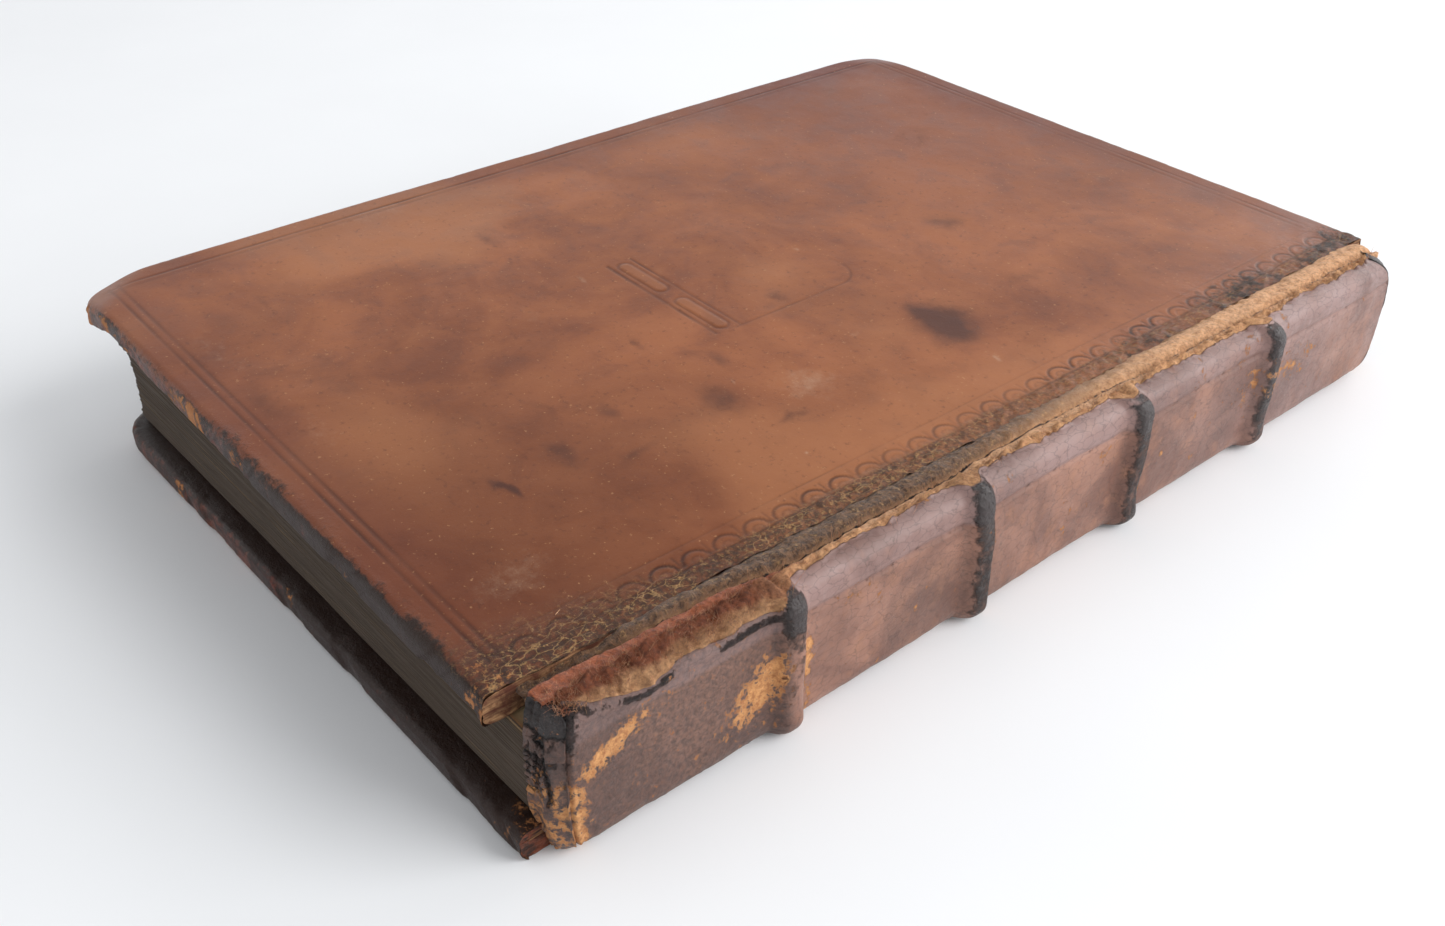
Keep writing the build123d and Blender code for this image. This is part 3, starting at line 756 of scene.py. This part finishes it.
def cover_slab(name, cover, u_range, half, w_low, w_high, corner, material, detail, seed):
    """A board or pastedown: a closed slab inside a cover, bent with its corners."""
    u_start, u_end = u_range
    rows = finer_ends(half, 2.5 * MM, (4 * MM, 0.5 * MM))
    share = np.concatenate([[0, 0.004], np.linspace(0.012, 0.96, 34), [0.98, 0.995, 1.0]])
    inset = np.maximum(np.abs(rows) - (half - corner), 0)
    ends = u_end - (corner - np.sqrt(np.maximum(corner**2 - inset**2, 0)))
    vv = np.repeat(rows[:, None], len(share), axis=1)
    uu = u_start + share[None, :] * (ends[:, None] - u_start)
    rough = detail * MM * layered_noise(uu / MM, vv / MM, 2.5, seed, 3)
    bend = corner_bend(cover, uu, vv)
    ripple = 0.6 * detail * MM * layered_noise(vv / MM, vv / MM * 0, 3, seed + 2, 3)
    spine_side = np.exp(-(uu - u_start) / (0.8 * MM))
    shift = ripple * spine_side
    upper = cover.place(uu + shift, vv, w_high(uu, vv) + rough - bend)
    lower = cover.place(uu - shift * 0.5, vv, w_low(uu, vv) - bend)
    points, faces = slab_data(upper, lower)
    if cover.side == "front":
        faces = faces[:, ::-1]
    near = np.minimum(np.minimum(u_end - uu, half - np.abs(vv)), uu - u_start) / MM
    edge = np.tile((1 - smooth(near, 0.5, 16)).ravel(), 2)
    piece = mesh_object(name, points, faces, {"edge": edge})
    dress(piece, material)
    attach(piece, f"{cover.side}_cover")
    return piece


def inner_layers(cover, seed):
    """The pasteboard and the pastedown of one cover."""
    level = (corner_points(f"{cover.side}_board") - cover.origin) @ cover.outward
    low, high = float(level.min()), float(level.max())
    wall = cover.thickness - high
    board = cover_slab(f"{cover.side}_board_core", cover, (0.1 * MM, cover.width - wall - 0.5 * MM),
                       cover.half - wall - 0.5 * MM, lambda u, v: low + 0 * u,
                       lambda u, v: high - 0.25 * MM + 0 * u, cover.corner - wall, BOARD,
                       0.12, seed)
    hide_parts(f"{cover.side}_board")
    sheet = corner_points(f"{cover.side}_pastedown")
    reach = float(((sheet - cover.origin) @ cover.to_fore).max())
    ridge_u = cover.width - 13 * MM
    ridge_v = cover.half - 13 * MM

    def sheet_level(u, v):
        over = np.maximum(smooth(u, ridge_u - 1 * MM, ridge_u + 1 * MM),
                          smooth(np.abs(v), ridge_v - 1 * MM, ridge_v + 1 * MM))
        waves = 0.06 * MM * layered_noise(u / MM, v / MM, 18, seed + 4, 2)
        return (0.3 - 0.24 * over) * MM + waves

    paste = cover_slab(f"{cover.side}_pastedown_sheet", cover, (0.3 * MM, reach), page_half,
                       sheet_level, lambda u, v: low + 0 * u, 0.6 * MM,
                       ENDPAPER, 0.0, seed + 5)
    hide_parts(f"{cover.side}_pastedown")


def spine_side_wall(cover, material, seed):
    """Closes the spine-side edge of a cover between its two faces."""
    half, deep = cover.half / MM - 0.15, cover.thickness / MM
    rows = finer_ends(half, 0.4, (2.0, 0.12))
    share = np.linspace(0, 1, 24)
    vm, ww = np.meshgrid(rows, share, indexing="ij")
    inset = np.clip(1 - (half - np.abs(vm)) / 1.5, 0, 1)
    drop = 1.5 * (1 - np.sqrt(1 - inset**2))
    bottom = cover.turn_in / MM + 0.7 * drop
    w = bottom + (deep - 0.1 - drop - bottom) * ww
    layers = layered_noise(w * 2.6, vm * 0.12, 1.0, seed, 2) * np.sin(ww * math.pi) ** 0.5
    u = -0.1 + 0.35 * layers + 0.3 * layered_noise(vm, w, 2.4, seed + 2, 3)
    points = cover.place(u * MM, vm * MM, w * MM)
    marks = {"black": 0.5 + 0.4 * layered_noise(vm, w, 5, seed + 3, 3), "red": 0 * vm + 0.8,
             "wear": 0.3 + 0.4 * layered_noise(vm, w, 3, seed + 4, 3)}
    wall = grid_object(f"{cover.side}_spine_side_edge", points, marks, flip=cover.side == "front")
    dress(wall, material)
    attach(wall, f"{cover.side}_cover")


cover_skin(front, 3, 1.0)
cover_skin(back, 71, 1.7)
spine_side_wall(front, BOARD, 81)
spine_side_wall(back, CALF, 85)
inner_layers(front, 5)
inner_layers(back, 25)


# ---------------------------------------------------------------- pages
THREAD_RADIUS = 0.22 * MM
GATHERINGS = sorted(n for n in nodes if n.startswith("gathering_"))
LEAVES = 8                   # in each gathering
NECK = 13 * MM               # from the fold to where the leaves lie flat
fold_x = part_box("sewing_thread")[0][0] + THREAD_RADIUS
leaf_half = page_half + 2.2 * MM


def leaf_grid(reach, half, bottom, top, seed):
    """Upper and lower grids of one leaf from its fold out to the fore-edge."""
    distance = spread((0, 14 * MM, 2 * MM), (14 * MM, reach - 3 * MM, 10 * MM),
                      (reach - 3 * MM, reach - 0.5 * MM, 1.2 * MM),
                      (reach - 0.5 * MM, reach, 0.5 * MM))
    along = finer_ends(half, 12 * MM, (0.5 * MM, 0.5 * MM), (3 * MM, 1.2 * MM))
    yy, ss = np.meshgrid(along, distance, indexing="ij")
    edge_s = 0.12 * MM * value_noise(yy / (9 * MM), seed * 3.1, seed)
    edge_y = 0.08 * MM * value_noise(ss / (11 * MM), seed * 1.7, seed + 2)
    out = ss + edge_s * (ss / reach) ** 4
    side = yy + edge_y * np.sign(yy) * smooth(np.abs(yy), half - 2 * MM, half)
    high = np.stack([fold_x - out, side, top(ss)], axis=-1)
    low = np.stack([fold_x - out, side, bottom(ss)], axis=-1)
    near = np.minimum(reach - ss, half - np.abs(yy)) / MM
    edge = np.where(near < 0.05, 1.0, 0.72 * np.exp(-near / 1.4) + 0.1 * np.exp(-near / 14))
    return high, low, edge


def page_block():
    """Every gathering as eight separate leaves that bend away from their fold."""
    for number, name in enumerate(GATHERINGS):
        corners = corner_points(name)
        fore = corners[corners[:, 0] < corners[:, 0].min() + 0.3 * MM][:, 2]
        neck = corners[np.abs(corners[:, 0] - (fold_x - NECK)) < 0.5 * MM][:, 2]
        reach = fold_x - corners[:, 0].min()
        tilt_top = (fore.max() - neck.max()) / (reach - NECK)
        tilt_bottom = (fore.min() - neck.min()) / (reach - NECK)

        def at(distance, share):
            high = neck.max() + tilt_top * (distance - NECK)
            low = neck.min() + tilt_bottom * (distance - NECK)
            return low + (high - low) * share

        points, faces, edges, first = [], [], [], 0
        for leaf in range(LEAVES):
            seed = number * 13 + leaf
            trim = 0.22 * MM * random.uniform(-1, 0.4)
            cut = 0.1 * MM * random.uniform(-1, 0.6)
            start, end = leaf / LEAVES, (leaf + 0.93) / LEAVES
            high, low, edge = leaf_grid(reach + trim, leaf_half + cut, lambda s: at(s, start),
                                        lambda s: at(s, end), seed)
            leaf_points, leaf_faces = slab_data(high, low, first)
            points.append(leaf_points)
            faces.append(leaf_faces)
            edges.append(np.tile(edge.ravel(), 2))
            first += len(leaf_points)
        block = mesh_object(f"{name}_leaves", np.concatenate(points), np.concatenate(faces),
                            {"edge": np.concatenate(edges)})
        dress(block, PAGE)
        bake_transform(block)
        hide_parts(name)


def flyleaf(side):
    """The free endpaper beside one cover."""
    name = f"{side}_flyleaf"
    points = corner_points(name)
    near_fold = points[points[:, 0] > points[:, 0].max() - 0.3 * MM]
    fore = points[points[:, 0] < points[:, 0].min() + 0.3 * MM]
    reach = fold_x - points[:, 0].min()
    z_fold, z_fore = near_fold[:, 2].min(), fore[:, 2].min()

    def base(distance):
        return z_fold + (z_fore - z_fold) * distance / reach

    high, low, edge = leaf_grid(reach - 0.8 * MM, leaf_half - 0.4 * MM, base,
                                lambda s: base(s) + 0.2 * MM, 91 if side == "front" else 97)
    points, faces = slab_data(high, low)
    sheet = mesh_object(f"{side}_flyleaf_sheet", points, faces, {"edge": np.tile(edge.ravel(), 2)})
    dress(sheet, ENDPAPER)
    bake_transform(sheet)
    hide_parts(name)


page_block()
flyleaf("front")
flyleaf("back")


# ---------------------------------------------------------------- spine
SPINE_ROUND = 2.8 * MM
CAP_REACH = 2.0 * MM        # how far the end caps lap over the ends of the pages


def spine_section(face_x, top_z):
    """The spine's outline from its top lip round its face to its bottom lip."""
    lip_x, floor_z = spine_low[0], spine_low[2]
    bend = SPINE_ROUND
    turn = np.linspace(0, math.pi / 2, 16)
    flat_x = np.linspace(lip_x, face_x - bend, 8)[:-1]
    face_z = np.linspace(top_z - bend, floor_z + bend, 64)[1:-1]
    x = np.concatenate([flat_x, face_x - bend + bend * np.sin(turn), face_x + 0 * face_z,
                        face_x - bend + bend * np.cos(turn), flat_x[::-1]])
    z = np.concatenate([top_z + 0 * flat_x, top_z - bend + bend * np.cos(turn), face_z,
                        floor_z + bend - bend * np.sin(turn), floor_z + 0 * flat_x])
    return x, z


def spine_skin():
    """The spine leather with raised bands, closed caps at both ends and worn patches."""
    lip_x, floor_z = spine_low[0], spine_low[2]
    panels = corner_points("spine_leather")
    off_bands = np.min([np.abs(panels[:, 1] - y) for y in cord_places], axis=0) > 4 * MM
    panel = panels[off_bands]
    face_x, top_z = panel[:, 0].max(), panel[:, 2].max()
    px, pz = spine_section(face_x, top_z)
    qx, qz = spine_section(spine_high[0], spine_high[2])
    run = np.concatenate([[0], np.cumsum(np.hypot(np.diff(px), np.diff(pz)))]) / MM
    half = spine_half
    body = spread((-half, half, 0.28 * MM))
    fold = np.linspace(1, 0, 22)
    rows = np.concatenate([[-half] * len(fold), body[1:-1], [half] * len(fold)])
    keep = np.concatenate([fold[::-1], np.ones(len(body) - 2), fold])
    y = rows[:, None] + 0 * px[None, :]
    sm = run[None, :] + 0 * y
    ym = y / MM
    proud = 0
    for n, place in enumerate(cord_places):
        wobble = 0.6 * value_noise(sm / 6, n * 7.0, 4)
        proud = np.maximum(proud, groove(ym - place / MM + wobble, 2.2))
    x = px + (qx - px) * proud
    z = pz + (qz - pz) * proud
    cap = keep[:, None] + 0 * x
    lean = np.where(z > 6 * MM, 1.0, smooth(z, 3 * MM, 6 * MM))
    cap_x = lip_x - CAP_REACH * lean
    hollow = smooth(1 - cap, 0, 0.12) * (1 - smooth(1 - cap, 0.85, 1.0))
    x = cap_x + (x - cap_x) * cap
    wide = layered_noise(ym, sm, 16, 43, 3)
    fine = layered_noise(ym, sm, 4, 45, 4)
    tiny = layered_noise(ym, sm, 1.3, 46, 4)
    first_panel = smooth(-ym, 55.5, 58)
    along_noise = layered_noise(ym, ym * 0, 6, 47, 4)
    torn_depth = 1.1 + 3.0 * first_panel * smooth(92 + ym, 0, 10) + 0.9 * along_noise
    torn = (1 - smooth(sm - torn_depth, -0.3, 0.3)) * (cap > 0.98)
    shoulder = bump_at(sm, torn_depth + 0.9, 0.8)
    crease_at = 7.2 + 0.5 * layered_noise(ym, ym * 0, 20, 41, 2)
    crease = groove(sm - crease_at, 0.5) * (1 - proud) * (1 - first_panel)
    end_near = half / MM - np.abs(ym)
    low_wave = smooth(sm, 24, 28) * layered_noise(ym, sm * 0, 9, 44, 3)
    rise = 0.2 * layered_noise(ym, sm, 8, 31, 4) + 0.06 * tiny + 0.25 * low_wave
    rise = rise - 0.3 * crease + 0.4 * shoulder * first_panel
    rise = rise + torn * (0.2 + 0.9 * tiny + first_panel * (0.4 + 0.8 * fine))
    rise = rise + 0.1 * first_panel * layered_noise(ym, sm, 0.9, 48, 3)
    flaked = most(
        bump_at(ym, -83.5, 5.5) * bump_at(sm + 0.45 * (ym + 83.5), 10.6, 1.9),
        bump_at(ym, -60.5, 4.6) * bump_at(sm + 0.6 * (ym + 60.5), 15.5, 4.2),
        0.8 * bump_at(end_near, 1.6, 2.2) * smooth(sm, 9, 16) * (ym < 0),
    )
    rise = rise - 0.14 * smooth(flaked + 0.5 * fine, 0.5, 0.8)
    rise = rise - 0.9 * (1 - smooth(end_near, 0, 1.6)) ** 2
    points = np.stack([x, y, z], axis=-1)
    normal = grid_normals(points)
    if np.median(normal[60:-60, len(px) // 2, 0]) < 0:
        normal = -normal
    folds = np.abs(layered_noise(x / MM * 2.2, z / MM * 0.4, 3.0, 57, 3))
    on_cap = cap < 0.995
    inward, height = (face_x - x) / MM, z / MM
    hole = bump_at(inward, 3.4, 0.8) * bump_at(height, 18.2, 1.0)
    split_x = 2.1 + 0.5 * layered_noise(height, height * 0, 4, 58, 3)
    split = bump_at(inward, split_x, 0.28) * smooth(height, 7, 10) * smooth(17.5 - height, 0, 2)
    wrinkled = smooth(inward, 2.4, 3.0) * smooth(height, 8, 10) * smooth(17 - height, 0, 1.5)
    wrinkles = wrinkled * np.sin(height * 5.4 + 2 * layered_noise(inward, height, 2, 59, 2))
    rough_cap = 1.9 * smooth(1 - cap, 0, 0.45) - 0.8 * folds * hollow + 0.4 * fine + 0.25 * tiny
    rough_cap = rough_cap - 1.3 * hole - 1.0 * split + 0.22 * wrinkles
    rise = np.where(on_cap, rough_cap, rise)
    normal[on_cap] = np.array([0, 1.0, 0])
    normal[on_cap] *= np.sign(y[on_cap])[:, None]
    points = points + normal * (rise * MM)[..., None]
    off_middle = np.abs(z - (top_z + floor_z) / 2) / ((top_z - floor_z) / 2)
    pull = np.where(y > 0, 3.6, 1.0) * off_middle**4 - 0.8 * (y > 0) * (1 - off_middle**2)
    rounding = 1.2 * (1 - smooth(end_near, 0, 4)) ** 1.5
    points[..., 1] -= np.sign(y) * (pull * (1 - smooth(end_near, 0, 12)) + rounding) * MM
    points[..., 2] = np.maximum(points[..., 2], 0.2 * MM)
    flank = np.min([np.abs(ym - place / MM - 3.3) for place in cord_places], axis=0)
    flank_low = np.min([np.abs(ym - place / MM + 3.0) for place in cord_places], axis=0)
    worn_flanks = 0.7 * bump_at(flank, 0, 1.1) + 0.35 * bump_at(flank_low, 0, 0.9)
    tan_panels = smooth(ym, 18, 60) * (1 - smooth(np.abs(sm - 12), 2, 7))
    low_cap = on_cap * smooth(11 - height, 0, 4)
    wear = most(
        0.72 * flaked + 0.2 * first_panel,
        worn_flanks * smooth(sm, 6, 11) * smooth(fine, -0.5, 0.25),
        0.48 * smooth(sm, 22, 27) * smooth(wide, 0.0, 0.5),
        0.5 * tan_panels * smooth(wide, 0.1, 0.5),
        0.4 * smooth(fine, 0.3, 0.55) * (1 - first_panel),
        0.66 * low_cap * smooth(fine + wide, -0.4, 0.3),
        0.28 * on_cap * smooth(fine, 0.0, 0.4),
    )
    shoulder_end = bump_at(end_near, 0, 4.0) * (1 - smooth(sm, 6, 11)) * (ym < 0)
    # on the caps: painted shade in the hole, the split and the wrinkle troughs; black along the top
    # of the cap
    cap_black_and_shade = most(1.4 * hole, 1.2 * split, 0.7 * wrinkled * (wrinkles < -0.4),
                     0.9 * smooth(height, 18.5, 20.5))
    black = most(
        proud * (0.62 + 0.3 * fine) * (0.55 + 0.45 * smooth(wide, -0.5, 0.2)),
        0.95 * proud * smooth(sm, 2, 3) * (1 - smooth(sm, 7, 10)),
        0.4 * (1 - smooth(end_near, 0.3, 2.5)) * (0.8 + fine) * smooth(18 - sm, 0, 8),
        0.9 * shoulder_end * (0.8 + 0.4 * fine) * (1 - 0.6 * on_cap),
        0.32 * crease,
        0.62 * shoulder * first_panel * smooth(wide + fine, -1.2, -0.1),
        # more black in the caps' sunken folds: painted shade
        on_cap * (0.12 + 0.36 * smooth(folds, 0.1, 0.3)) * (1 - 0.8 * low_cap),
        on_cap * cap_black_and_shade,
        0.4 * first_panel * smooth(wide, 0.1, 0.5),
    )
    by_lip = 1 - smooth(sm, crease_at - 0.4, crease_at + 0.4)
    # greyer along the top lip, and a painted haze towards the tail end
    blue = most(by_lip * (1 - 0.5 * first_panel),
                0.75 * smooth(ym, 15, 60) * smooth(wide, -0.6, 0.3)) * (1 - on_cap)
    dark = most(0.85 * first_panel, 0.35 * smooth(wide, 0.1, 0.6), on_cap)
    masks = {"wear": wear, "black": black * (1 - torn), "blue": blue * (1 - torn),
             "fuzz": torn * (0.8 + 0.3 * fine), "dark": dark,
             "red": smooth(-ym, 50, 62) * smooth(2.6 + 1.2 * fine - sm, 0, 1)}
    masks = {key: np.clip(value, 0, 1) for key, value in masks.items()}
    skin = grid_object("spine_skin", points, masks)
    dress(skin, SPINE)
    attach(skin, "text_block")
    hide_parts("spine_leather")
    return lip_x, top_z, floor_z


lip_x, spine_top_z, spine_floor_z = spine_skin()


# ---------------------------------------------------------------- joints
def strip_between(name, start, end, half, depth, seed, masks, material, rise):
    """A thick uneven strip of leather that crosses one joint."""
    along = spread((-half, half, 0.3 * MM))
    across = np.linspace(0, 1, 30)
    yy, tt = np.meshgrid(along, across, indexing="ij")
    ym = yy / MM
    start, end = np.array(start), np.array(end)
    base = start + (end - start) * tt[..., None]
    base[..., 1] = yy
    side = np.array([-(end - start)[2], 0, (end - start)[0]])
    side = side / np.linalg.norm(side)
    if side[2] < 0:
        side = -side
    upper = base + side * (rise(ym, tt) * MM)[..., None]
    lower = base - side * (depth * MM)
    points, faces = slab_data(upper, lower)
    marks = {key: np.tile(np.clip(value(ym, tt), 0, 1).ravel(), 2) for key, value in masks.items()}
    strip = mesh_object(name, points, faces, marks)
    dress(strip, material)
    return strip


def joint_crack(y):
    """Where the split in the joint runs: 0 at the spine, 1 at the board."""
    wander = 0.12 * layered_noise(y, y * 0, 11, 71, 4)
    return 0.36 + wander + 0.2 * smooth(-y, 50, 62) - 0.14 * smooth(y, 0, 50)


def front_joint():
    """The torn strip between the front board and the spine leather."""
    edge = front.place(np.array(0.5 * MM), np.array(0.0), np.array(front.thickness - 0.35 * MM))
    start = (lip_x + 0.4 * MM, 0, spine_top_z - 0.3 * MM)

    def rise(y, t):
        crack = joint_crack(y)
        torn_side = smooth(crack - t, 0.0, 0.12)
        board_side = smooth(t - crack, 0.0, 0.14)
        split = -(0.35 + 0.65 * smooth(-y, -20, 40)) * (1 - torn_side) * (1 - board_side)
        head = smooth(-y, 50, 62)
        lumps = layered_noise(y, t * 6, 1.6, 63, 4)
        ridge = 0.55 * np.sin(np.clip((t - crack) / (1 - crack), 0, 1) * math.pi)
        torn = (0.15 + 0.5 * head) * torn_side * (0.7 + 0.8 * layered_noise(y, t * 6, 4, 64, 3))
        open_end = smooth(-y, 72, 84) * smooth(t - crack, -0.1, 0.1) * (1 - smooth(t, 0.86, 0.97))
        return split + ridge * board_side + torn + 0.42 * lumps - 1.6 * open_end

    masks = {
        # black along the split: painted shade in the gap; black patches towards the head
        "black": lambda y, t: np.maximum(
            (0.55 + 0.5 * smooth(-y, -20, 40)) * bump_at(t, joint_crack(y), 0.06),
            0.5 * smooth(layered_noise(y, t * 6, 12, 61, 3), 0.2, 0.6) * smooth(-y, -60, 20)),
        "red": lambda y, t: smooth(-y, 40, 60) * smooth(joint_crack(y) - t, -0.1, 0.1) * 0.95,
        "crack": lambda y, t: smooth(t - joint_crack(y), 0.02, 0.1)
        * smooth(-y - 30 * (0.9 - t), -50, 15),
    }
    strip = strip_between("front_joint_strip", start, edge, spine_half - 1.0 * MM, 1.3, 63, masks,
                          TORN, rise)
    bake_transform(strip)
    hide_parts("front_joint_leather")


def back_joint():
    """The unbroken leather that runs from the spine round onto the back board."""
    edge = back.place(np.array(1.2 * MM), np.array(0.0), np.array(back.thickness - 0.25 * MM))
    start = (lip_x + 1.4 * MM, 0, spine_floor_z + 0.75 * MM)
    masks = {"wear": lambda y, t: 0.4 + 0.3 * layered_noise(y, t * 6, 9, 65, 3),
             "black": lambda y, t: 0.4 + 0.5 * layered_noise(y, t * 6, 14, 67, 3),
             "dark": lambda y, t: 0.5 + 0 * y, "blue": lambda y, t: 0 * y,
             "fuzz": lambda y, t: 0 * y, "red": lambda y, t: 0 * y}
    strip = strip_between("back_joint_skin", start, edge, spine_half - 1.0 * MM, -0.5, 69, masks,
                          SPINE, lambda y, t: 0 * y)
    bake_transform(strip)


def hairs(name, roots, ways, lengths, radius, body, marks):
    """Thin curling fibres as three-sided tubes."""
    joints_along, sides = 6, 3
    count = len(roots)
    share = np.linspace(0, 1, joints_along)
    rng = np.random.default_rng(5)
    curl = rng.normal(0, 0.5, (count, 1, 3)) * share[None, :, None] ** 2
    path = ways[:, None, :] * share[None, :, None] + curl * share[None, :, None]
    path = roots[:, None, :] + path * lengths[:, None, None]
    turn = np.arange(sides) * 2 * math.pi / sides
    taper = radius * (1 - 0.75 * share)
    ring = np.stack([np.cos(turn), np.sin(turn), 0.5 * np.cos(turn + 1)], axis=-1)
    points = path[:, :, None, :] + ring[None, None] * taper[None, :, None, None]
    total = points.reshape(-1, 3)
    values = {key: np.full(len(total), value) for key, value in marks.items()}
    tuft = mesh_object(name, total, ring_faces(count, joints_along, sides), values)
    dress(tuft, TORN)
    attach(tuft, body)


def torn_fibres():
    """Fibres standing up from the torn leather, and one loose hair on the cover."""
    rng = np.random.default_rng(9)
    count = 2200
    y = np.where(rng.random(count) < 0.7, rng.uniform(-90, -54, count), rng.uniform(-54, 88, count))
    reach = np.where(y < -54, 4.2, 1.6)
    x = (lip_x - 0.6 * MM) + rng.random(count) * reach * MM
    roots = np.stack([x, y * MM, spine_top_z + 0.1 * MM + 0 * y], axis=-1)
    ways = rng.normal(0, 0.8, (count, 3))
    ways[:, 2] = np.abs(ways[:, 2]) * 0.4 + 0.1
    ways /= np.linalg.norm(ways, axis=1, keepdims=True)
    lengths = rng.uniform(0.5, 1.6, count) * MM
    hairs("torn_edge_fibres", roots, ways, lengths, 0.05 * MM, "text_block",
          {"red": 0.5, "black": 0.0, "crack": 0.0})
    root = front.place(np.array([6.3 * MM]), np.array([-81 * MM]), np.array([front.thickness]))
    hairs("loose_hair", root, np.array([[-0.25, 0.95, 0.05]]), np.array([6 * MM]), 0.1 * MM,
          "front_cover", {"red": 0.0, "black": 0.0, "crack": 0.0})


front_joint()
back_joint()
torn_fibres()


# ---------------------------------------------------------------- endbands
def endband(end_name):
    """A cord core wound with thread across the end of the pages."""
    low, high = (np.array(c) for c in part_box(f"{end_name}_endband"))
    centre = (low + high) / 2
    radius = (high[0] - low[0]) / 2
    length = high[2] - low[2]
    rows = spread((0, length, 0.07 * MM))
    turns = np.linspace(0, 2 * math.pi, 25)[:-1]
    hh, aa = np.meshgrid(rows, turns, indexing="ij")
    wind = 0.85 + 0.15 * np.abs(np.sin(math.pi * hh / (0.55 * MM) + aa / 2))
    taper = np.sqrt(np.clip(np.minimum(hh, length - hh) / (0.5 * MM), 0.02, 1))
    out = radius * wind * taper
    points = np.stack([centre[0] + out * np.cos(aa), centre[1] + out * np.sin(aa), low[2] + hh],
                      axis=-1)
    band = mesh_object(f"{end_name}_endband_winding", points.reshape(-1, 3), ring_faces(*hh.shape))
    dress(band, SILK)
    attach(band, "text_block")
    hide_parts(f"{end_name}_endband")


endband("head")
endband("tail")

for name, node in nodes.items():
    if name.startswith("sewing_cord") or name.endswith("cord_slips"):
        dress(node, HEMP)
    elif name == "sewing_thread":
        dress(node, LINEN)
    elif name.startswith("spine_lining"):
        dress(node, LINING)


# ---------------------------------------------------------------- stage, light, camera
def floor_and_light():
    """A pale table, a soft room and a large window light from behind on the right."""
    size = 3.0
    mesh = bpy.data.meshes.new("table_top")
    mesh.from_pydata([(-size, -size, 0), (size, -size, 0), (size, size, 0), (-size, size, 0)], [],
                     [(0, 1, 2, 3)])
    table = bpy.data.objects.new("table_top", mesh)
    bpy.context.collection.objects.link(table)
    p = Paint("pale_table")
    base = p.mix(p.noise(60, 3, 0.5), colour(236, 237, 239), colour(242, 243, 245))
    dress(table, p.finish(base, 0.7, None, 0.2))
    world = bpy.data.worlds.new("soft_room")
    world.use_nodes = True
    background = world.node_tree.nodes["Background"]
    tree = world.node_tree
    way = tree.nodes.new("ShaderNodeTexCoord")
    parts = tree.nodes.new("ShaderNodeSeparateXYZ")
    tree.links.new(way.outputs["Generated"], parts.inputs[0])
    fade = tree.nodes.new("ShaderNodeMapRange")
    fade.interpolation_type = "SMOOTHSTEP"
    tree.links.new(parts.outputs["Z"], fade.inputs["Value"])
    for label, value in (("From Min", 0.2), ("From Max", 0.75), ("To Min", 1.25), ("To Max", 0.5)):
        fade.inputs[label].default_value = value
    tree.links.new(fade.outputs["Result"], background.inputs["Strength"])
    background.inputs["Color"].default_value = (0.97, 0.985, 1.0, 1.0)
    bpy.context.scene.world = world
    for label, place, extent, power in (
        ("window", (1.05, 0.75, 0.8), 1.0, 21.0),
        ("far_window", (-0.1, 1.4, 0.62), 0.8, 5.0),
    ):
        light = bpy.data.lights.new(label, "AREA")
        light.shape = "SQUARE"
        light.size = extent
        light.energy = power
        lamp = bpy.data.objects.new(label, light)
        lamp.location = place
        lamp.rotation_euler = direction_euler(-np.array(place))
        bpy.context.collection.objects.link(lamp)


def direction_euler(way):
    """Rotation that points an object's -Z axis along a direction, with Y up."""
    return Vector(way).to_track_quat("-Z", "Y").to_euler()


def camera():
    """The photograph's viewpoint: near the head end on the spine side, looking down."""
    yaw, pitch, roll = (math.radians(a) for a in (-50.88, -34.8, -1.02))
    spine_face = spine_high[0] - 2.0 * MM
    place = Vector((spine_face + 97.46 * MM, -149.16 * MM, 130.73 * MM))
    level = Vector((math.sin(yaw), math.cos(yaw), 0))
    ahead = math.cos(pitch) * level + Vector((0, 0, math.sin(pitch)))
    right = Vector((math.cos(yaw), -math.sin(yaw), 0))
    up = right.cross(ahead)
    right_r = math.cos(roll) * right + math.sin(roll) * up
    up_r = -math.sin(roll) * right + math.cos(roll) * up
    turn = Matrix((right_r, up_r, -ahead)).transposed().to_4x4()
    data = bpy.data.cameras.new("photo_view")
    data.sensor_fit = "HORIZONTAL"
    data.sensor_width = 36       # mm, as is the lens; the shifts are shares of the width
    data.lens = 34.854
    data.shift_x, data.shift_y = 0.01606, 0.02706
    data.clip_start = 0.005
    view = bpy.data.objects.new("photo_view", data)
    view.matrix_world = Matrix.Translation(place) @ turn
    bpy.context.collection.objects.link(view)
    bpy.context.scene.camera = view


floor_and_light()
camera()
bpy.context.scene.view_settings.view_transform = "Standard"
